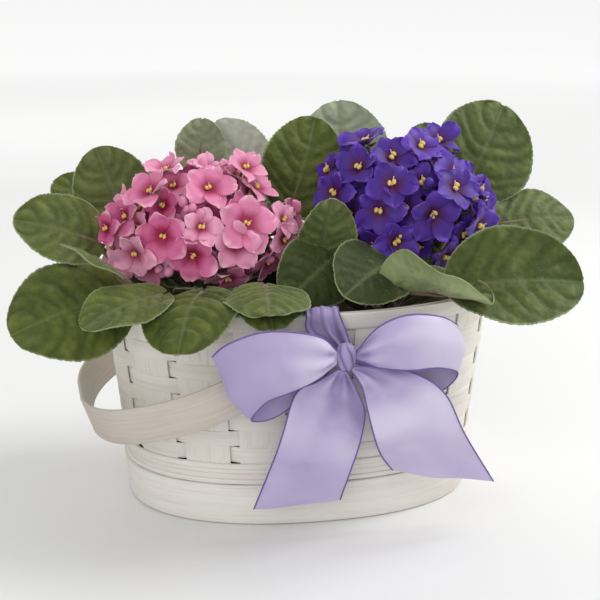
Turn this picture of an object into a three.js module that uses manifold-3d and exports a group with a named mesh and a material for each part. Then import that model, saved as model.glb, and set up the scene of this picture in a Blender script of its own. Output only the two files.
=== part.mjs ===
// Two African violets, pink and purple, in an oval whitewashed splint basket.
// The basket has a folded drop handle on two rivets and a wide ribbon bow at the front.
// Millimetres, +Z up, the front looks along -Y, the origin is under the middle of the basket.

import * as THREE from 'three';
import Module from 'manifold-3d';
import { mergeVertices } from 'three/addons/utils/BufferGeometryUtils.js';

const wasm = await Module();
wasm.setup();

// Basket
const BASKET_HEIGHT = 125;
const WALL_FOOT = { x: 98.5, y: 67.5 };
const WALL_TOP = { x: 113, y: 74 };
const PLAN_POWER = 2.3;
const STAKE_COUNT = 18;
const STAKE_WIDTH = 27;
const SPLINT = 1;
const WEAVE_OFFSET = 1.3;
const BAND_CLEARANCE = 0.8;
const BASE_BAND = { height: 24, thickness: 2.8 };
const TRIM = { height: 6.2, thickness: 2.2, gap: 0.3 };
const WEAVER_ROWS = 8;
const WEAVER_PITCH = 9.8;
const WEAVER_HEIGHT = 9.4;
const RIM = { height: 9.2, thickness: 2 };
const FLOOR_THICKNESS = 3;

// Handle and its two rivets
const HANDLE_REACH = 135;
const HANDLE_HANG_DEG = 20;
const HANDLE_WIDTH = 22;
const HANDLE_END_SHARE = 0.55;
const HANDLE_THICKNESS = 2;
const HANDLE_POWER = 2.7;
const HANDLE_SPREAD = 92;
const HANDLE_SEAT = 77.7;
const HANDLE_SEAT_LENGTH = 7;
const HANDLE_BOW_LENGTH = 85;
const HANDLE_STEPS = 15;
const PIVOT_HEIGHT = 101.2;
const RIVET = { shaft: 1.9, hole: 2.3, head: 5.5, headHeight: 1.8, gap: 0.3, sides: 10 };
const RIVET_TAIL = { radius: 4, height: 0.9, inset: 8.15 };
const DRILL_REACH = 10;

// Liner, pots and soil
const LINER = { offset: -4.2, thickness: 0.8, height: 112, floor: 3.3 };
const POT = { foot: 36, mouth: 49, height: 100, wall: 1.4, lip: 2, lipHeight: 8, bottom: 4.5 };
const POT_SPACING = 53;
const SOIL = { top: 97, hole: 8.4, holeDepth: 14, holeRise: 1, gap: 0.3 };
const CROWN = { foot: 5.6, root: 8, waist: 11, waistRise: 5, top: 6, height: 112, sides: 8 };
const ROUND_SIDES = 13;

// Foliage and flowers
const FUSE_TOLERANCE = 0.15;
const BLADE = { thickness: 0.9, rows: 5, columns: 4, notch: 0.9, stub: 0.05, lean: 0.85, fullness: 0.55 };
const PETIOLE = { radius: 2.1, sides: 3, steps: 2, rootShare: 0.7, bend: 14, level: 0.55, overlap: 1.5 };
const PETIOLE_LEVELS = [-5, -2, 1];
const PETALS = 5;
const PETAL_THICKNESS = 0.9;
const PETAL_OUTLINE = [[-20, 1, 0.15], [20, 1, 0.15], [36, 0.6, 0.22]];
const BLOOM_TURN = { step: 29, span: 72 };
const ANTHER = { radius: 2, height: 3 };
const PEDICEL = { radius: 0.9, root: 0.336 };
const PEDUNCLE = { radius: 1.8, sides: 5, turns: [-60, 60, 180], gap: 0.8, spread: 1.6, reach: 8 };
const CORE = { share: 0.42, sides: 6, rings: 4 };
const LAYERS = [0.96, 0.82, 0.89];

// Ribbon
const RIBBON_THICKNESS = 0.8;

const COLOURS = {
  splint: 0xe9e2d8,
  handle: 0xc8bdb0,
  rivet: 0x9a9186,
  liner: 0x4a3a2e,
  pot: 0x5d6a50,
  soil: 0x3a2b22,
  leaf: 0x52703f,
  pink: 0xdd7fa2,
  purple: 0x4f2ba0,
  ribbon: 0xb3a3d2,
};

const vec = (x, y, z) => new THREE.Vector3(x, y, z);
const mix = (a, b, share) => a + (b - a) * share;
const smooth = (share) => {
  const clamped = Math.min(1, Math.max(0, share));
  return clamped * clamped * (3 - 2 * clamped);
};

// Closed meshes
function signedVolume(points, faces) {
  let volume = 0;
  for (const [a, b, c] of faces) {
    volume += points[a].dot(points[b].clone().cross(points[c])) / 6;
  }
  return volume;
}

function closedMesh(points, faces) {
  const inward = signedVolume(points, faces) < 0;
  const index = faces.flatMap(([a, b, c]) => (inward ? [a, c, b] : [a, b, c]));
  const geometry = new THREE.BufferGeometry();
  const values = points.flatMap((point) => [point.x, point.y, point.z]);
  geometry.setAttribute('position', new THREE.Float32BufferAttribute(values, 3));
  geometry.setIndex(index);
  return geometry;
}

// A skin over cross-sections that all have the same number of points.
function loft(sections, { closed = false } = {}) {
  const size = sections[0].length;
  const points = sections.flat();
  const faces = [];
  const spans = closed ? sections.length : sections.length - 1;
  for (let i = 0; i < spans; i += 1) {
    const here = i * size;
    const next = ((i + 1) % sections.length) * size;
    for (let j = 0; j < size; j += 1) {
      const k = (j + 1) % size;
      faces.push([here + j, next + j, next + k], [here + j, next + k, here + k]);
    }
  }
  if (!closed) {
    const last = (sections.length - 1) * size;
    for (let j = 1; j < size - 1; j += 1) {
      faces.push([0, j, j + 1], [last, last + j + 1, last + j]);
    }
  }
  return closedMesh(points, faces);
}

// A thin sheet: rows of points on its upper face, with the same split into triangles below.
function sheet(rows, thickness) {
  const count = rows.length;
  const width = rows[0].length;
  const at = (i, j) => rows[Math.min(count - 1, Math.max(0, i))][Math.min(width - 1, Math.max(0, j))];
  const upper = rows.flat();
  const lower = [];
  for (let i = 0; i < count; i += 1) {
    for (let j = 0; j < width; j += 1) {
      const along = at(i + 1, j).clone().sub(at(i - 1, j));
      const across = at(i, j + 1).clone().sub(at(i, j - 1));
      const normal = along.cross(across).normalize();
      lower.push(rows[i][j].clone().addScaledVector(normal, thickness));
    }
  }
  const under = count * width;
  const faces = [];
  for (let i = 0; i < count - 1; i += 1) {
    for (let j = 0; j < width - 1; j += 1) {
      const a = i * width + j;
      const b = a + 1;
      const c = a + width;
      const d = c + 1;
      faces.push([a, c, d], [a, d, b]);
      faces.push([under + a, under + d, under + c], [under + a, under + b, under + d]);
    }
  }
  const border = [];
  for (let j = 0; j < width - 1; j += 1) border.push(j);
  for (let i = 0; i < count - 1; i += 1) border.push(i * width + width - 1);
  for (let j = width - 1; j > 0; j -= 1) border.push((count - 1) * width + j);
  for (let i = count - 1; i > 0; i -= 1) border.push(i * width);
  border.forEach((a, index) => {
    const b = border[(index + 1) % border.length];
    faces.push([a, b, under + b], [a, under + b, under + a]);
  });
  return closedMesh([...upper, ...lower], faces);
}

// A rod of few sides along a curve.
function rod(curve, radius, sides, steps) {
  const section = new THREE.Shape();
  for (let i = 0; i < sides; i += 1) {
    const angle = (i / sides) * 2 * Math.PI;
    const x = radius * Math.cos(angle);
    const y = radius * Math.sin(angle);
    if (i === 0) section.moveTo(x, y);
    else section.lineTo(x, y);
  }
  return new THREE.ExtrudeGeometry(section, { extrudePath: curve, steps, bevelEnabled: false });
}

function turned(profile, sides) {
  const points = profile.map(([r, z]) => new THREE.Vector2(r, z));
  return new THREE.LatheGeometry(points, sides).rotateX(Math.PI / 2);
}

function toSolid(geometry) {
  const bare = geometry.clone();
  bare.deleteAttribute('normal');
  bare.deleteAttribute('uv');
  const merged = mergeVertices(bare, 1e-4);
  return new wasm.Manifold(new wasm.Mesh({
    numProp: 3,
    vertProperties: new Float32Array(merged.attributes.position.array),
    triVerts: new Uint32Array(merged.index.array),
  }));
}

function toGeometry(solid) {
  const mesh = solid.getMesh();
  const geometry = new THREE.BufferGeometry();
  geometry.setAttribute('position', new THREE.Float32BufferAttribute(mesh.vertProperties, 3));
  geometry.setIndex([...mesh.triVerts]);
  return geometry;
}

function fuse(geometries) {
  const joined = geometries.map(toSolid).reduce((sum, solid) => sum.add(solid));
  return toGeometry(joined.simplify(FUSE_TOLERANCE));
}

// The basket's wall: an oval plan that widens from the table to the rim.
function ovalPoint(angle, half) {
  const c = Math.cos(angle);
  const s = Math.sin(angle);
  const bend = 2 / PLAN_POWER;
  return {
    x: half.x * Math.sign(c) * Math.abs(c) ** bend,
    y: half.y * Math.sign(s) * Math.abs(s) ** bend,
  };
}

const MIDDLE_HALF = { x: (WALL_FOOT.x + WALL_TOP.x) / 2, y: (WALL_FOOT.y + WALL_TOP.y) / 2 };
const PLAN_STEPS = 1440;
const planLengths = [0];
for (let i = 1; i <= PLAN_STEPS; i += 1) {
  const a = ovalPoint(((i - 1) / PLAN_STEPS) * 2 * Math.PI, MIDDLE_HALF);
  const b = ovalPoint((i / PLAN_STEPS) * 2 * Math.PI, MIDDLE_HALF);
  planLengths.push(planLengths[i - 1] + Math.hypot(b.x - a.x, b.y - a.y));
}
const GIRTH = planLengths[PLAN_STEPS];

// The angle that lies a given share of the girth round from the +X end.
function planAngle(share) {
  const length = (share - Math.floor(share)) * GIRTH;
  const after = planLengths.findIndex((value) => value > length);
  const before = planLengths[after - 1];
  const part = (length - before) / (planLengths[after] - before);
  return ((after - 1 + part) / PLAN_STEPS) * 2 * Math.PI;
}

function wallPoint(share, z, offset) {
  const rise = z / BASKET_HEIGHT;
  const half = { x: mix(WALL_FOOT.x, WALL_TOP.x, rise), y: mix(WALL_FOOT.y, WALL_TOP.y, rise) };
  const { x, y } = ovalPoint(planAngle(share), half);
  const nx = (Math.sign(x) * Math.abs(x / half.x) ** (PLAN_POWER - 1)) / half.x;
  const ny = (Math.sign(y) * Math.abs(y / half.y) ** (PLAN_POWER - 1)) / half.y;
  const size = Math.hypot(nx, ny);
  return vec(x + (nx / size) * offset, y + (ny / size) * offset, z);
}

const stakeShare = (stake, side) => (stake + 0.5) / STAKE_COUNT + (side * STAKE_WIDTH) / 2 / GIRTH;

// A ring round the wall, with one section at each stake's edge.
function wallRing(sectionAt) {
  const sections = [];
  for (let stake = 0; stake < STAKE_COUNT; stake += 1) {
    for (const side of [-1, 1]) {
      const share = stakeShare(stake, side);
      sections.push(sectionAt(stake).map(([z, offset]) => wallPoint(share, z, offset)));
    }
  }
  return loft(sections, { closed: true });
}

function flatBand(bottom, height, inner, thickness) {
  return wallRing(() => [
    [bottom, inner],
    [bottom, inner + thickness],
    [bottom + height, inner + thickness],
    [bottom + height, inner],
  ]);
}

function roundBand(bottom, height, inner, thickness) {
  return wallRing(() => [
    [bottom, inner],
    [bottom + height / 4, inner + thickness],
    [bottom + (height * 3) / 4, inner + thickness],
    [bottom + height, inner],
  ]);
}

function weaver(row) {
  const bottom = WEAVERS_BOTTOM + row * WEAVER_PITCH;
  return wallRing((stake) => {
    const middle = (stake + row) % 2 === 0 ? WEAVE_OFFSET : -WEAVE_OFFSET;
    return [
      [bottom, middle - SPLINT / 2],
      [bottom, middle + SPLINT / 2],
      [bottom + WEAVER_HEIGHT, middle + SPLINT / 2],
      [bottom + WEAVER_HEIGHT, middle - SPLINT / 2],
    ];
  });
}

function stake(number) {
  const sections = [0, BASKET_HEIGHT - 1].map((z) => [
    wallPoint(stakeShare(number, -1), z, -SPLINT / 2),
    wallPoint(stakeShare(number, 1), z, -SPLINT / 2),
    wallPoint(stakeShare(number, 1), z, SPLINT / 2),
    wallPoint(stakeShare(number, -1), z, SPLINT / 2),
  ]);
  return loft(sections);
}

// The wall's plan at one height, with a corner at each stake's edge.
function planOutline(z, offset) {
  return Array.from({ length: 2 * STAKE_COUNT }, (_, i) => (
    wallPoint(stakeShare(Math.floor(i / 2), i % 2 === 0 ? -1 : 1), z, offset)
  ));
}

function basketFloor() {
  return loft([planOutline(0, -WEAVE_OFFSET), planOutline(FLOOR_THICKNESS, -WEAVE_OFFSET)]);
}

function liner() {
  const inner = LINER.offset - LINER.thickness;
  return loft([
    planOutline(LINER.floor, LINER.offset),
    planOutline(LINER.height, LINER.offset),
    planOutline(LINER.height, inner),
    planOutline(LINER.floor + LINER.thickness, inner),
  ]);
}

// Plastic grower's pot with a rolled lip, and the soil that fills it.
function potRadius(z) {
  return mix(POT.foot, POT.mouth - POT.lip, (z - POT.bottom) / POT.height);
}

function pot() {
  const top = POT.bottom + POT.height;
  const lipBottom = top - POT.lipHeight;
  return turned([
    [0, POT.bottom],
    [POT.foot, POT.bottom],
    [potRadius(lipBottom), lipBottom],
    [POT.mouth, lipBottom],
    [POT.mouth, top],
    [potRadius(top) - POT.wall, top],
    [POT.foot - POT.wall, POT.bottom + POT.wall],
    [0, POT.bottom + POT.wall],
  ], ROUND_SIDES);
}

function soil() {
  const foot = POT.bottom + POT.wall + SOIL.gap;
  const inside = (z) => potRadius(z) - POT.wall - SOIL.gap;
  return turned([
    [0, foot],
    [inside(foot), foot],
    [inside(SOIL.top), SOIL.top],
    [SOIL.hole, SOIL.top + SOIL.holeRise],
    [SOIL.hole, SOIL.top - SOIL.holeDepth],
    [0, SOIL.top - SOIL.holeDepth],
  ], ROUND_SIDES);
}

// Leaves, each named for where it grows: base and tip of the blade, its width, the way its
// upper side looks, how far its middle arches up, and how far its sides cup up.
const leaf = (base, tip, width, face, arch, cup) => ({ base, tip, width, face, arch, cup });

const PINK_LEAVES = {
  lowLeft: leaf([-106, -35, 131], [-167, -60, 117], 62, [-0.3, -0.8, 0.55], 4, -3),
  midLeft: leaf([-116, -6, 154], [-163, -16, 171], 42, [0.1, -0.8, 0.6], 3, 3),
  topLeft: leaf([-98, 30, 156], [-114, 42, 200], 46, [-0.1, -1, 0.3], 2, 3),
  farLeft: leaf([-105, 42, 158], [-140, 52, 177], 34, [-0.2, -0.5, 0.8], 3, 3),
  thinLeft: leaf([-106, -40, 143], [-138, -48, 164], 22, [0.3, 0.1, 0.95], 2, -3),
  nearLeft: leaf([-84, -50, 133], [-129, -79, 124], 38, [-0.05, -0.35, 1], 4, 1),
  frontLeft: leaf([-61, -46, 133], [-80, -96, 112], 54, [-0.35, -0.6, 0.75], 7, -4),
  frontMiddle: leaf([-27, -54, 137], [-31, -94, 131], 47, [0, -0.2, 1], 2, -4),
  frontUnder: leaf([-28, -60, 130], [-29, -92, 122], 36, [0, -0.4, 0.9], 4, -3),
  highBack: leaf([-53, 41, 184], [-49, 50, 214], 30, [0, -0.95, 0.3], 2, 3),
  greyBack: leaf([-15, 46, 175], [-40, 60, 210], 36, [-0.3, -0.8, 0.5], 2, 6),
  middleTall: leaf([0, 20, 163], [18, 38, 215], 50, [0, -1, 0.3], 3, 4),
  backLeft: leaf([-92, 46, 140], [-132, 84, 140], 46, [-0.2, 0.3, 0.9], 6, 3),
  backMiddle: leaf([-60, 52, 142], [-66, 106, 134], 52, [0, 0.4, 0.9], 8, -3),
  backRight: leaf([-26, 44, 148], [-20, 94, 158], 48, [0, 0.2, 1], 6, 3),
  backHigh: leaf([-76, 50, 162], [-92, 92, 176], 42, [0, 0.2, 1], 3, 3),
};

const PURPLE_LEAVES = {
  roundMiddle: leaf([10, -24, 144], [15, -31, 180], 33, [0.1, -1, 0.25], 2, 3),
  darkUnder: leaf([20, -24, 146], [-16, -52, 126], 44, [0.25, -0.75, 0.65], 3, 3),
  darkFront: leaf([46, -40, 143], [14, -71, 133], 46, [0.22, -0.58, 0.82], 4, 2),
  topBack: leaf([38, 44, 175], [36, 60, 221], 54, [0, -0.95, 0.3], 3, 4),
  bigRight: leaf([109, 26, 168], [138, 46, 218], 64, [0.1, -1, 0.35], 3, 4),
  behindHead: leaf([93, 44, 182], [90, 58, 206], 30, [0, -0.9, 0.4], 2, 3),
  farRight: leaf([126, 10, 151], [178, 20, 151], 42, [0, -0.75, 0.65], 3, -2),
  longRight: leaf([79, -60, 133], [156, -60, 132], 60, [0.12, -0.8, 0.72], 4, 11),
  curledFront: leaf([42, -54, 131], [94, -86, 129], 44, [0.2, 0.4, 1], 2, 17),
  backRight: leaf([96, 46, 142], [140, 78, 140], 48, [0.2, 0.3, 0.9], 6, 3),
  backMiddle: leaf([60, 52, 142], [66, 106, 134], 52, [0, 0.4, 0.9], 8, -3),
  backLeft: leaf([27, 48, 146], [24, 98, 152], 46, [0, 0.3, 1], 6, 3),
  backHigh: leaf([76, 50, 164], [90, 92, 178], 44, [0, 0.2, 1], 3, 3),
  underHead: leaf([68, 22, 128], [92, 30, 160], 48, [0.1, -1, 0.3], 3, 3),
};

// Half width of a blade: broad and rounded, widest below its middle.
function bladeShape(share) {
  return BLADE.stub + (1 - BLADE.stub) * Math.sin(Math.PI * share ** BLADE.lean) ** BLADE.fullness;
}

function leafFrame(one) {
  const base = vec(...one.base);
  const tip = vec(...one.tip);
  const along = tip.clone().sub(base).normalize();
  const face = vec(...one.face);
  const up = face.addScaledVector(along, -face.dot(along)).normalize();
  const side = up.clone().cross(along);
  return { base, tip, along, up, side };
}

function blade(one) {
  const { base, tip, up, side } = leafFrame(one);
  const rows = [];
  for (let i = 0; i <= BLADE.rows; i += 1) {
    const share = i / BLADE.rows;
    const ends = i === 0 || i === BLADE.rows;
    const notch = i % 2 === 0 ? -BLADE.notch : BLADE.notch;
    const half = (one.width / 2) * bladeShape(share) + (ends ? 0 : notch);
    const row = [];
    for (let j = 0; j <= BLADE.columns; j += 1) {
      const across = (2 * j) / BLADE.columns - 1;
      const arch = one.arch * 4 * share * (1 - share);
      const cup = one.cup * (half / one.width) * 2 * across * across;
      const point = base.clone().lerp(tip, share);
      row.push(point.addScaledVector(side, across * half).addScaledVector(up, arch + cup));
    }
    rows.push(row);
  }
  return sheet(rows, BLADE.thickness);
}

function petiole(one, crown, index) {
  const { base, along } = leafFrame(one);
  const out = base.clone().sub(crown).setZ(0).normalize();
  const root = crown.clone().addScaledVector(out, CROWN.waist * PETIOLE.rootShare);
  root.z += PETIOLE_LEVELS[index % PETIOLE_LEVELS.length];
  const bend = base.clone().addScaledVector(along, -PETIOLE.bend);
  bend.z = Math.min(bend.z, mix(root.z, base.z, PETIOLE.level));
  const end = base.clone().addScaledVector(along, PETIOLE.overlap);
  const curve = new THREE.QuadraticBezierCurve3(root, bend, end);
  return rod(curve, PETIOLE.radius, PETIOLE.sides, PETIOLE.steps);
}

function crownGeometry(x) {
  const foot = SOIL.top - SOIL.holeDepth + SOIL.gap;
  return turned([
    [0, foot],
    [CROWN.foot, foot],
    [CROWN.root, SOIL.top + SOIL.holeRise],
    [CROWN.waist, SOIL.top + CROWN.waistRise],
    [CROWN.top, CROWN.height],
    [0, CROWN.height],
  ], CROWN.sides).translate(x, 0, 0);
}

function foliage(leaves, x) {
  const crown = vec(x, 0, CROWN.height - CROWN.top);
  const parts = [crownGeometry(x)];
  Object.values(leaves).forEach((one, index) => {
    parts.push(petiole(one, crown, index), blade(one));
  });
  return fuse(parts);
}

// Flower heads. A bloom sits on an oval dome, at a turn round it and a height on it in degrees.
const PINK_HEAD = { centre: [-57, -2, 154], half: [57, 40, 46] };
const PINK_BLOOMS = [
  [-48, 44, 15.5], [5, 56, 15.5], [-29, 12, 15.5], [25, 19, 18], [-9, -4, 15.5], [18, 4, 15],
  [-46, -2, 14], [-80, 23, 13.5], [-4, 19, 12], [55, 2, 12.5], [160, 74, 13], [-118, 66, 13.5],
  [101, 60, 12.5], [90, 46, 13], [86, 12, 12], [-84, 10, 11], [17, -28, 13], [46, -14, 12],
  [180, 40, 14], [-150, 30, 14], [145, 26, 13], [-160, 0, 12],
];
const PURPLE_HEAD = { centre: [63, 0, 163], half: [54, 41, 47] };
const PURPLE_BLOOMS = [
  [-120, 64, 15], [-105, 47, 14], [-58, 46, 14], [-64, 22, 14], [-30, 66, 14], [40, 74, 14],
  [-18, 32, 15], [50, 41, 16], [-26, 13, 15], [30, 26, 15], [14, 9, 16.5], [80, 10, 14],
  [50, -4, 14.5], [68, -28, 13], [-14, -12, 14], [110, 62, 14], [82, 28, 13],
  [180, 42, 15], [-155, 28, 13], [140, 30, 15], [26, -28, 13],
];

function domePoint(head, turn, height, share) {
  const t = THREE.MathUtils.degToRad(turn);
  const h = THREE.MathUtils.degToRad(height);
  const way = vec(Math.sin(t) * Math.cos(h), -Math.cos(t) * Math.cos(h), Math.sin(h));
  const [x, y, z] = head.centre;
  const [a, b, c] = head.half;
  return { way, point: vec(x + way.x * a * share, y + way.y * b * share, z + way.z * c * share) };
}

// One flower on its stalk: five round petals joined at a throat, with raised anthers in the middle.
function bloom(centre, way, radius, spin, root) {
  const side = Math.abs(way.z) > 0.98 ? vec(1, 0, 0) : vec(0, 0, 1).cross(way).normalize();
  const up = way.clone().cross(side).normalize();
  side.crossVectors(up, way).normalize();
  const spot = (turn, reach, lift) => {
    const angle = THREE.MathUtils.degToRad(turn + spin);
    return centre.clone()
      .addScaledVector(side, Math.sin(angle) * reach)
      .addScaledVector(up, Math.cos(angle) * reach)
      .addScaledVector(way, lift);
  };
  const rim = [];
  const eye = [];
  const neck = [];
  const foot = [];
  for (let petal = 0; petal < PETALS; petal += 1) {
    const middle = petal * (360 / PETALS);
    for (const [turn, reach, lift] of PETAL_OUTLINE) {
      rim.push(spot(middle + turn, radius * reach, radius * lift));
    }
    eye.push(spot(middle, ANTHER.radius, 0));
    neck.push(spot(middle, PEDICEL.radius, -PETAL_THICKNESS));
    foot.push(spot(middle, PEDICEL.radius, 0).sub(centre).add(root));
  }
  const back = rim.map((point) => point.clone().addScaledVector(way, -PETAL_THICKNESS));
  const apex = centre.clone().addScaledVector(way, ANTHER.height);
  const points = [apex, root, ...eye, ...neck, ...foot, ...rim, ...back];
  const faces = [];
  const eyeAt = (i) => 2 + (i % PETALS);
  const neckAt = (i) => 2 + PETALS + (i % PETALS);
  const footAt = (i) => 2 + 2 * PETALS + (i % PETALS);
  const rimAt = (i) => 2 + 3 * PETALS + ((i + rim.length) % rim.length);
  const backAt = (i) => rim.length + rimAt(i);
  const perPetal = PETAL_OUTLINE.length;
  for (let petal = 0; petal < PETALS; petal += 1) {
    faces.push([0, eyeAt(petal), eyeAt(petal + 1)], [1, footAt(petal + 1), footAt(petal)]);
    faces.push([neckAt(petal + 1), neckAt(petal), footAt(petal)]);
    faces.push([neckAt(petal + 1), footAt(petal), footAt(petal + 1)]);
    for (let i = 0; i < perPetal; i += 1) {
      const j = petal * perPetal + i;
      const owner = i === perPetal - 1 ? petal + 1 : petal;
      faces.push([eyeAt(owner), rimAt(j), rimAt(j + 1)], [neckAt(owner), backAt(j + 1), backAt(j)]);
      faces.push([rimAt(j), backAt(j), backAt(j + 1)], [rimAt(j), backAt(j + 1), rimAt(j + 1)]);
    }
    const notch = petal * perPetal + perPetal - 1;
    faces.push([eyeAt(petal), rimAt(notch), eyeAt(petal + 1)]);
    faces.push([neckAt(petal), neckAt(petal + 1), backAt(notch)]);
  }
  return closedMesh(points, faces);
}

function flowers(head, blooms, x) {
  const heart = vec(...head.centre);
  const core = new THREE.SphereGeometry(1, CORE.sides, CORE.rings);
  core.scale(...head.half.map((half) => half * CORE.share)).translate(...heart);
  const parts = [core];
  const foot = vec(x, 0, CROWN.height + PEDUNCLE.gap);
  for (const turn of PEDUNCLE.turns) {
    const { way } = domePoint(head, turn, 0, 1);
    const start = foot.clone().addScaledVector(way, PEDUNCLE.spread);
    const end = heart.clone().addScaledVector(way, PEDUNCLE.reach);
    parts.push(rod(new THREE.LineCurve3(start, end), PEDUNCLE.radius, PEDUNCLE.sides, 1));
  }
  blooms.forEach(([turn, height, radius], index) => {
    const { way, point } = domePoint(head, turn, height, LAYERS[index % LAYERS.length]);
    const root = domePoint(head, turn, height, PEDICEL.root).point;
    const spin = (index * BLOOM_TURN.step) % BLOOM_TURN.span;
    parts.push(bloom(point, way, radius, spin, root));
  });
  return fuse(parts);
}

// Handle: a bent flat band, laid out level and then hung from its rivets.
function handleLine(reach) {
  const across = (Math.max(0, 1 - (reach / HANDLE_REACH) ** HANDLE_POWER)) ** (1 / HANDLE_POWER);
  const bowed = smooth((reach - HANDLE_SEAT_LENGTH) / (HANDLE_BOW_LENGTH - HANDLE_SEAT_LENGTH));
  return HANDLE_SPREAD * across - (HANDLE_SPREAD - HANDLE_SEAT) * (1 - bowed);
}

function handleGeometry() {
  const half = [[-HANDLE_WIDTH / 2, HANDLE_SEAT], [HANDLE_SEAT_LENGTH, HANDLE_SEAT]];
  const t = HANDLE_THICKNESS / 2;
  for (let i = 1; i <= HANDLE_STEPS; i += 1) {
    const angle = (i / HANDLE_STEPS) * (Math.PI / 2);
    const reach = HANDLE_REACH * Math.sin(angle) ** (2 / HANDLE_POWER);
    half.push([reach, handleLine(reach)]);
  }
  const full = [...half, ...half.slice(0, -1).reverse().map(([reach, y]) => [reach, -y])];
  const sections = full.map(([reach, y], index) => {
    const before = full[Math.max(0, index - 1)];
    const after = full[Math.min(full.length - 1, index + 1)];
    const run = Math.hypot(after[0] - before[0], after[1] - before[1]);
    const nx = (after[1] - before[1]) / run;
    const ny = -(after[0] - before[0]) / run;
    const end = index === 0 || index === full.length - 1;
    const edge = (end ? HANDLE_WIDTH * HANDLE_END_SHARE : HANDLE_WIDTH) / 2;
    const place = (out, z) => vec(-(reach + nx * out), y + ny * out, z);
    return [place(-t, -edge), place(t, -edge), place(t, edge), place(-t, edge)];
  });
  return loft(sections);
}

// What is drilled out for a rivet: a pin along Y through the handle's end and the wall.
function rivetHole(side) {
  const pin = new THREE.CylinderGeometry(RIVET.hole, RIVET.hole, 2 * DRILL_REACH, RIVET.sides);
  return pin.translate(0, side * HANDLE_SEAT, 0);
}

function drill(geometry, pins) {
  return toGeometry(pins.map(toSolid).reduce((solid, pin) => solid.subtract(pin), toSolid(geometry)));
}

// Rivet: turned about the pivot axis, with a domed head outside and a flat one inside the wall.
function rivet(side) {
  const inside = HANDLE_SEAT - RIVET_TAIL.inset;
  const outside = HANDLE_SEAT + HANDLE_THICKNESS / 2 + RIVET.gap;
  const profile = [
    [0, inside],
    [RIVET_TAIL.radius, inside],
    [RIVET_TAIL.radius, inside + RIVET_TAIL.height],
    [RIVET.shaft, inside + RIVET_TAIL.height],
    [RIVET.shaft, outside],
    [RIVET.head, outside],
    [RIVET.head * 0.6, outside + RIVET.headHeight * 0.8],
    [0, outside + RIVET.headHeight],
  ].map(([r, y]) => new THREE.Vector2(r, y));
  const geometry = new THREE.LatheGeometry(profile, RIVET.sides);
  if (side < 0) geometry.rotateX(Math.PI);
  return geometry;
}

// Ribbon: each piece is a sheet between two edges, given from one end to the other.
const BOW = {
  knot: { centre: [11, -92.5, 105], half: [5.5, 4.5, 8.5] },
  leftLoop: {
    upper: [[5.6, -94.6, 110], [-8, -107, 123], [-34, -108, 127], [-54, -106, 121],
      [-63, -103, 113], [-54, -96, 117], [-34, -92.5, 118], [-10, -91, 113], [5.3, -91, 108]],
    lower: [[5.6, -94.6, 102], [-10, -101, 95], [-24, -104.5, 90.5], [-35, -105, 86.5],
      [-42, -101, 76], [-33, -95.5, 73], [-22, -93.2, 77], [-6, -91, 89], [5.3, -91, 101]],
  },
  rightLoop: {
    upper: [[16.4, -94.6, 109], [26, -104, 125], [42, -104, 131], [62, -97, 127],
      [74, -88, 118], [66, -84, 118], [46, -86, 120], [28, -89, 112], [16.7, -91, 108]],
    lower: [[16.4, -94.6, 104], [28, -104, 102], [44, -105, 100], [62, -98, 98],
      [75, -89, 91], [66, -85, 80], [48, -86.5, 84], [30, -89, 96], [16.7, -91, 101]],
  },
  leftTail: {
    upper: [[5.6, -95.2, 99.4], [-6, -98.5, 94], [-17, -97, 87], [-24, -95, 66],
      [-31, -89, 42], [-39, -84, 17]],
    lower: [[11.2, -95.8, 98], [16, -98.5, 88], [21, -96.5, 74], [20, -94, 58],
      [15, -89, 40], [10, -84, 19]],
  },
  rightTail: {
    upper: [[16.2, -95.4, 101], [30, -101, 102], [50, -101, 95], [66, -98, 82],
      [78, -94, 58], [98, -88, 25]],
    lower: [[12.9, -96.6, 99.4], [18, -102, 91], [22, -101, 76], [26, -97, 60],
      [31, -93, 48], [39, -88, 36]],
  },
  tie: {
    upper: [[6, -87.3, 107], [1, -82, 117], [-8, -78.6, 125.4], [-8, -73, 128],
      [-8, -68.8, 122], [-8, -68.3, 115]],
    lower: [[15, -87.3, 107], [13, -82, 117], [10, -78.6, 125.4], [10, -73, 128],
      [10, -68.8, 122], [10, -68.3, 115]],
  },
};

function ribbonPiece({ upper, lower }) {
  const rows = upper.map((point, i) => {
    const a = vec(...point);
    const b = vec(...lower[i]);
    return [a, a.clone().lerp(b, 0.5), b];
  });
  return sheet(rows, RIBBON_THICKNESS);
}

function bowKnot({ centre, half }) {
  return new THREE.SphereGeometry(1, 10, 7).scale(...half).translate(...centre);
}

// The object
const finish = (colour, roughness, metalness = 0) => new THREE.MeshStandardMaterial({
  color: colour,
  roughness,
  metalness,
  flatShading: true,
});
const splintFinish = finish(COLOURS.splint, 0.8);
const ribbonFinish = finish(COLOURS.ribbon, 0.55);
const leafFinish = finish(COLOURS.leaf, 0.75);
const rivetFinish = finish(COLOURS.rivet, 0.4, 0.6);
const pinkFinish = finish(COLOURS.pink, 0.7);
const purpleFinish = finish(COLOURS.purple, 0.7);

function named(name, geometry, material) {
  const mesh = new THREE.Mesh(geometry, material);
  mesh.name = name;
  return mesh;
}

const TRIM_BOTTOM = BASE_BAND.height + TRIM.gap;
const WEAVERS_BOTTOM = TRIM_BOTTOM + 2 * (TRIM.height + TRIM.gap);
const RIM_BOTTOM = BASKET_HEIGHT - RIM.height;
const PIVOT_ROW = Math.floor((PIVOT_HEIGHT - WEAVERS_BOTTOM) / WEAVER_PITCH);
const PIVOT_STAKES = [Math.floor(STAKE_COUNT / 4), Math.floor((3 * STAKE_COUNT) / 4)];
const wallHoles = () => [-1, 1].map((side) => rivetHole(side).translate(0, 0, PIVOT_HEIGHT));

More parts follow.
